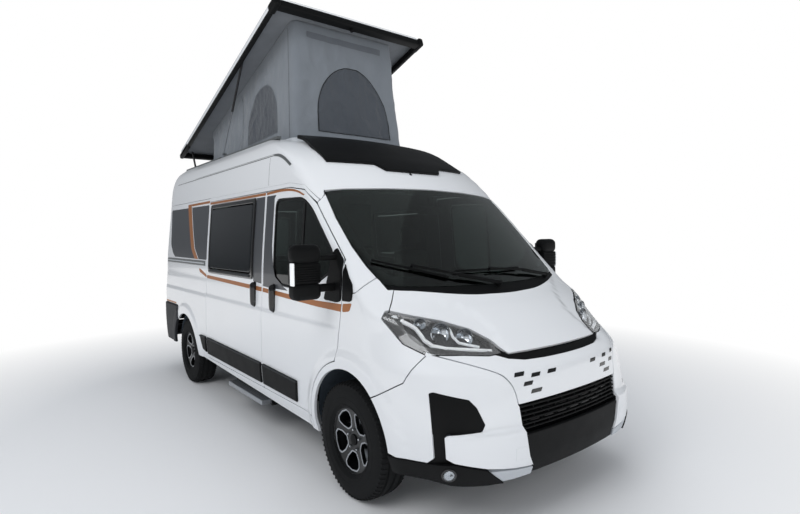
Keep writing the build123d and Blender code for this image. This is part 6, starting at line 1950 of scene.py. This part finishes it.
def world_light():
    """White surround for the camera and through glass, a dim room for reflections, a softer fill."""
    world = bpy.data.worlds.new("studio")
    bpy.context.scene.world = world
    tree = fresh_tree(world)
    path = add(tree, "ShaderNodeLightPath")
    seen = add(tree, "ShaderNodeMath", {0: path.outputs["Is Camera Ray"],
                                        1: path.outputs["Is Transmission Ray"]}, operation="MAXIMUM")
    white = add(tree, "ShaderNodeBackground", {"Color": linear("#FFFFFF"), "Strength": 1.0})
    fill = add(tree, "ShaderNodeBackground", {"Color": linear("#EDF2F8"), "Strength": 0.50})
    # a room for reflections: dim wall low down, a pale band above it, soft cloud over that
    spot = add(tree, "ShaderNodeTexCoord")
    height = add(tree, "ShaderNodeSeparateXYZ", {"Vector": spot.outputs["Generated"]})
    cloud = add(tree, "ShaderNodeTexNoise", {"Vector": spot.outputs["Generated"], "Scale": 2.2,
                                             "Detail": 3.0})
    lift = add(tree, "ShaderNodeMath", {0: height.outputs["Z"], 1: cloud.outputs["Fac"]}, operation="ADD")
    room = add(tree, "ShaderNodeMapRange", {"Value": lift.outputs["Value"], "From Min": 0.46,
                                            "From Max": 0.78, "To Min": 0.06, "To Max": 0.24})
    mirrored_room = add(tree, "ShaderNodeBackground", {"Color": linear("#EDF2F8"),
                                                       "Strength": room.outputs["Result"]})
    fill = add(tree, "ShaderNodeMixShader", {"Fac": path.outputs["Is Glossy Ray"],
                                             1: fill.outputs["Background"],
                                             2: mirrored_room.outputs["Background"]})
    mix = add(tree, "ShaderNodeMixShader", {"Fac": seen.outputs["Value"], 1: fill.outputs["Shader"],
                                            2: white.outputs["Background"]})
    out = add(tree, "ShaderNodeOutputWorld")
    tree.links.new(mix.outputs["Shader"], out.inputs["Surface"])


def soft_light(name, place, target, size, power):
    """A large softbox."""
    data = bpy.data.lights.new(name, "AREA")
    data.shape = "RECTANGLE"
    data.size, data.size_y = size
    data.energy = power
    lamp = linked(name, data)
    lamp.location = place
    lamp.rotation_euler = (Vector(target) - Vector(place)).to_track_quat("-Z", "Y").to_euler()
    return lamp


def floor_disc():
    """A pale floor that takes the contact shadow and fades into the white surround."""
    bm = bmesh.new()
    bmesh.ops.create_circle(bm, cap_ends=True, radius=40, segments=96)
    mesh = bpy.data.meshes.new("floor")
    bm.to_mesh(mesh)
    bm.free()
    made = bpy.data.materials.new("pale_floor")
    tree = fresh_tree(made)
    place = add(tree, "ShaderNodeTexCoord").outputs["Object"]
    far = add(tree, "ShaderNodeVectorMath", {0: place}, operation="LENGTH")
    fade = add(tree, "ShaderNodeMapRange", {"Value": far.outputs["Value"], "From Min": 2.9, "From Max": 6.0})
    shader = add(tree, "ShaderNodeBsdfDiffuse", {"Color": linear("#EDEEF0")})
    glow = add(tree, "ShaderNodeEmission", {"Color": linear("#FFFFFF"), "Strength": 1.0})
    mix = add(tree, "ShaderNodeMixShader", {"Fac": fade.outputs["Result"], 1: shader.outputs["BSDF"],
                                            2: glow.outputs["Emission"]})
    out = add(tree, "ShaderNodeOutputMaterial")
    tree.links.new(mix.outputs["Shader"], out.inputs["Surface"])
    mesh.materials.append(made)
    return linked("floor", mesh)


CAMERA_PLACE = (4.482, -2.722, 1.671)
CAMERA_TURN = (51.92, -2.36, -0.72)       # heading, tilt and roll in degrees
LENS_MM = 23.13


def place_camera():
    """Three-quarter view from the right front, at eye height."""
    data = bpy.data.cameras.new("view")
    data.sensor_width = 36.0
    data.lens = LENS_MM
    data.clip_start, data.clip_end = 0.05, 200
    camera = linked("view", data)
    yaw, pitch, roll = (math.radians(a) for a in CAMERA_TURN)
    ahead_dir = Vector((-math.sin(yaw) * math.cos(pitch), math.cos(yaw) * math.cos(pitch), math.sin(pitch)))
    right = Vector((math.cos(yaw), math.sin(yaw), 0))
    up = right.cross(ahead_dir)
    right, up = (right * math.cos(roll) + up * math.sin(roll),
                 up * math.cos(roll) - right * math.sin(roll))
    camera.matrix_world = Matrix.Translation(CAMERA_PLACE) @ Matrix(
        (right, up, -ahead_dir)).transposed().to_4x4()
    bpy.context.scene.camera = camera


world_light()
lights = [soft_light("key", (3.5, -6.5, 6.5), (0.3, 0, 1.2), (5, 4), 255),
          soft_light("front", (8.0, 1.0, 3.2), (1.5, 0, 1.0), (4, 4), 85),
          soft_light("top", (-0.5, 0.5, 8.5), (0, 0, 1), (7, 5), 165)]
for lamp in lights:
    lamp.visible_glossy = False       # no bright squares on the glass and enamel
floor_disc()
place_camera()
bpy.context.scene.view_settings.view_transform = "Standard"
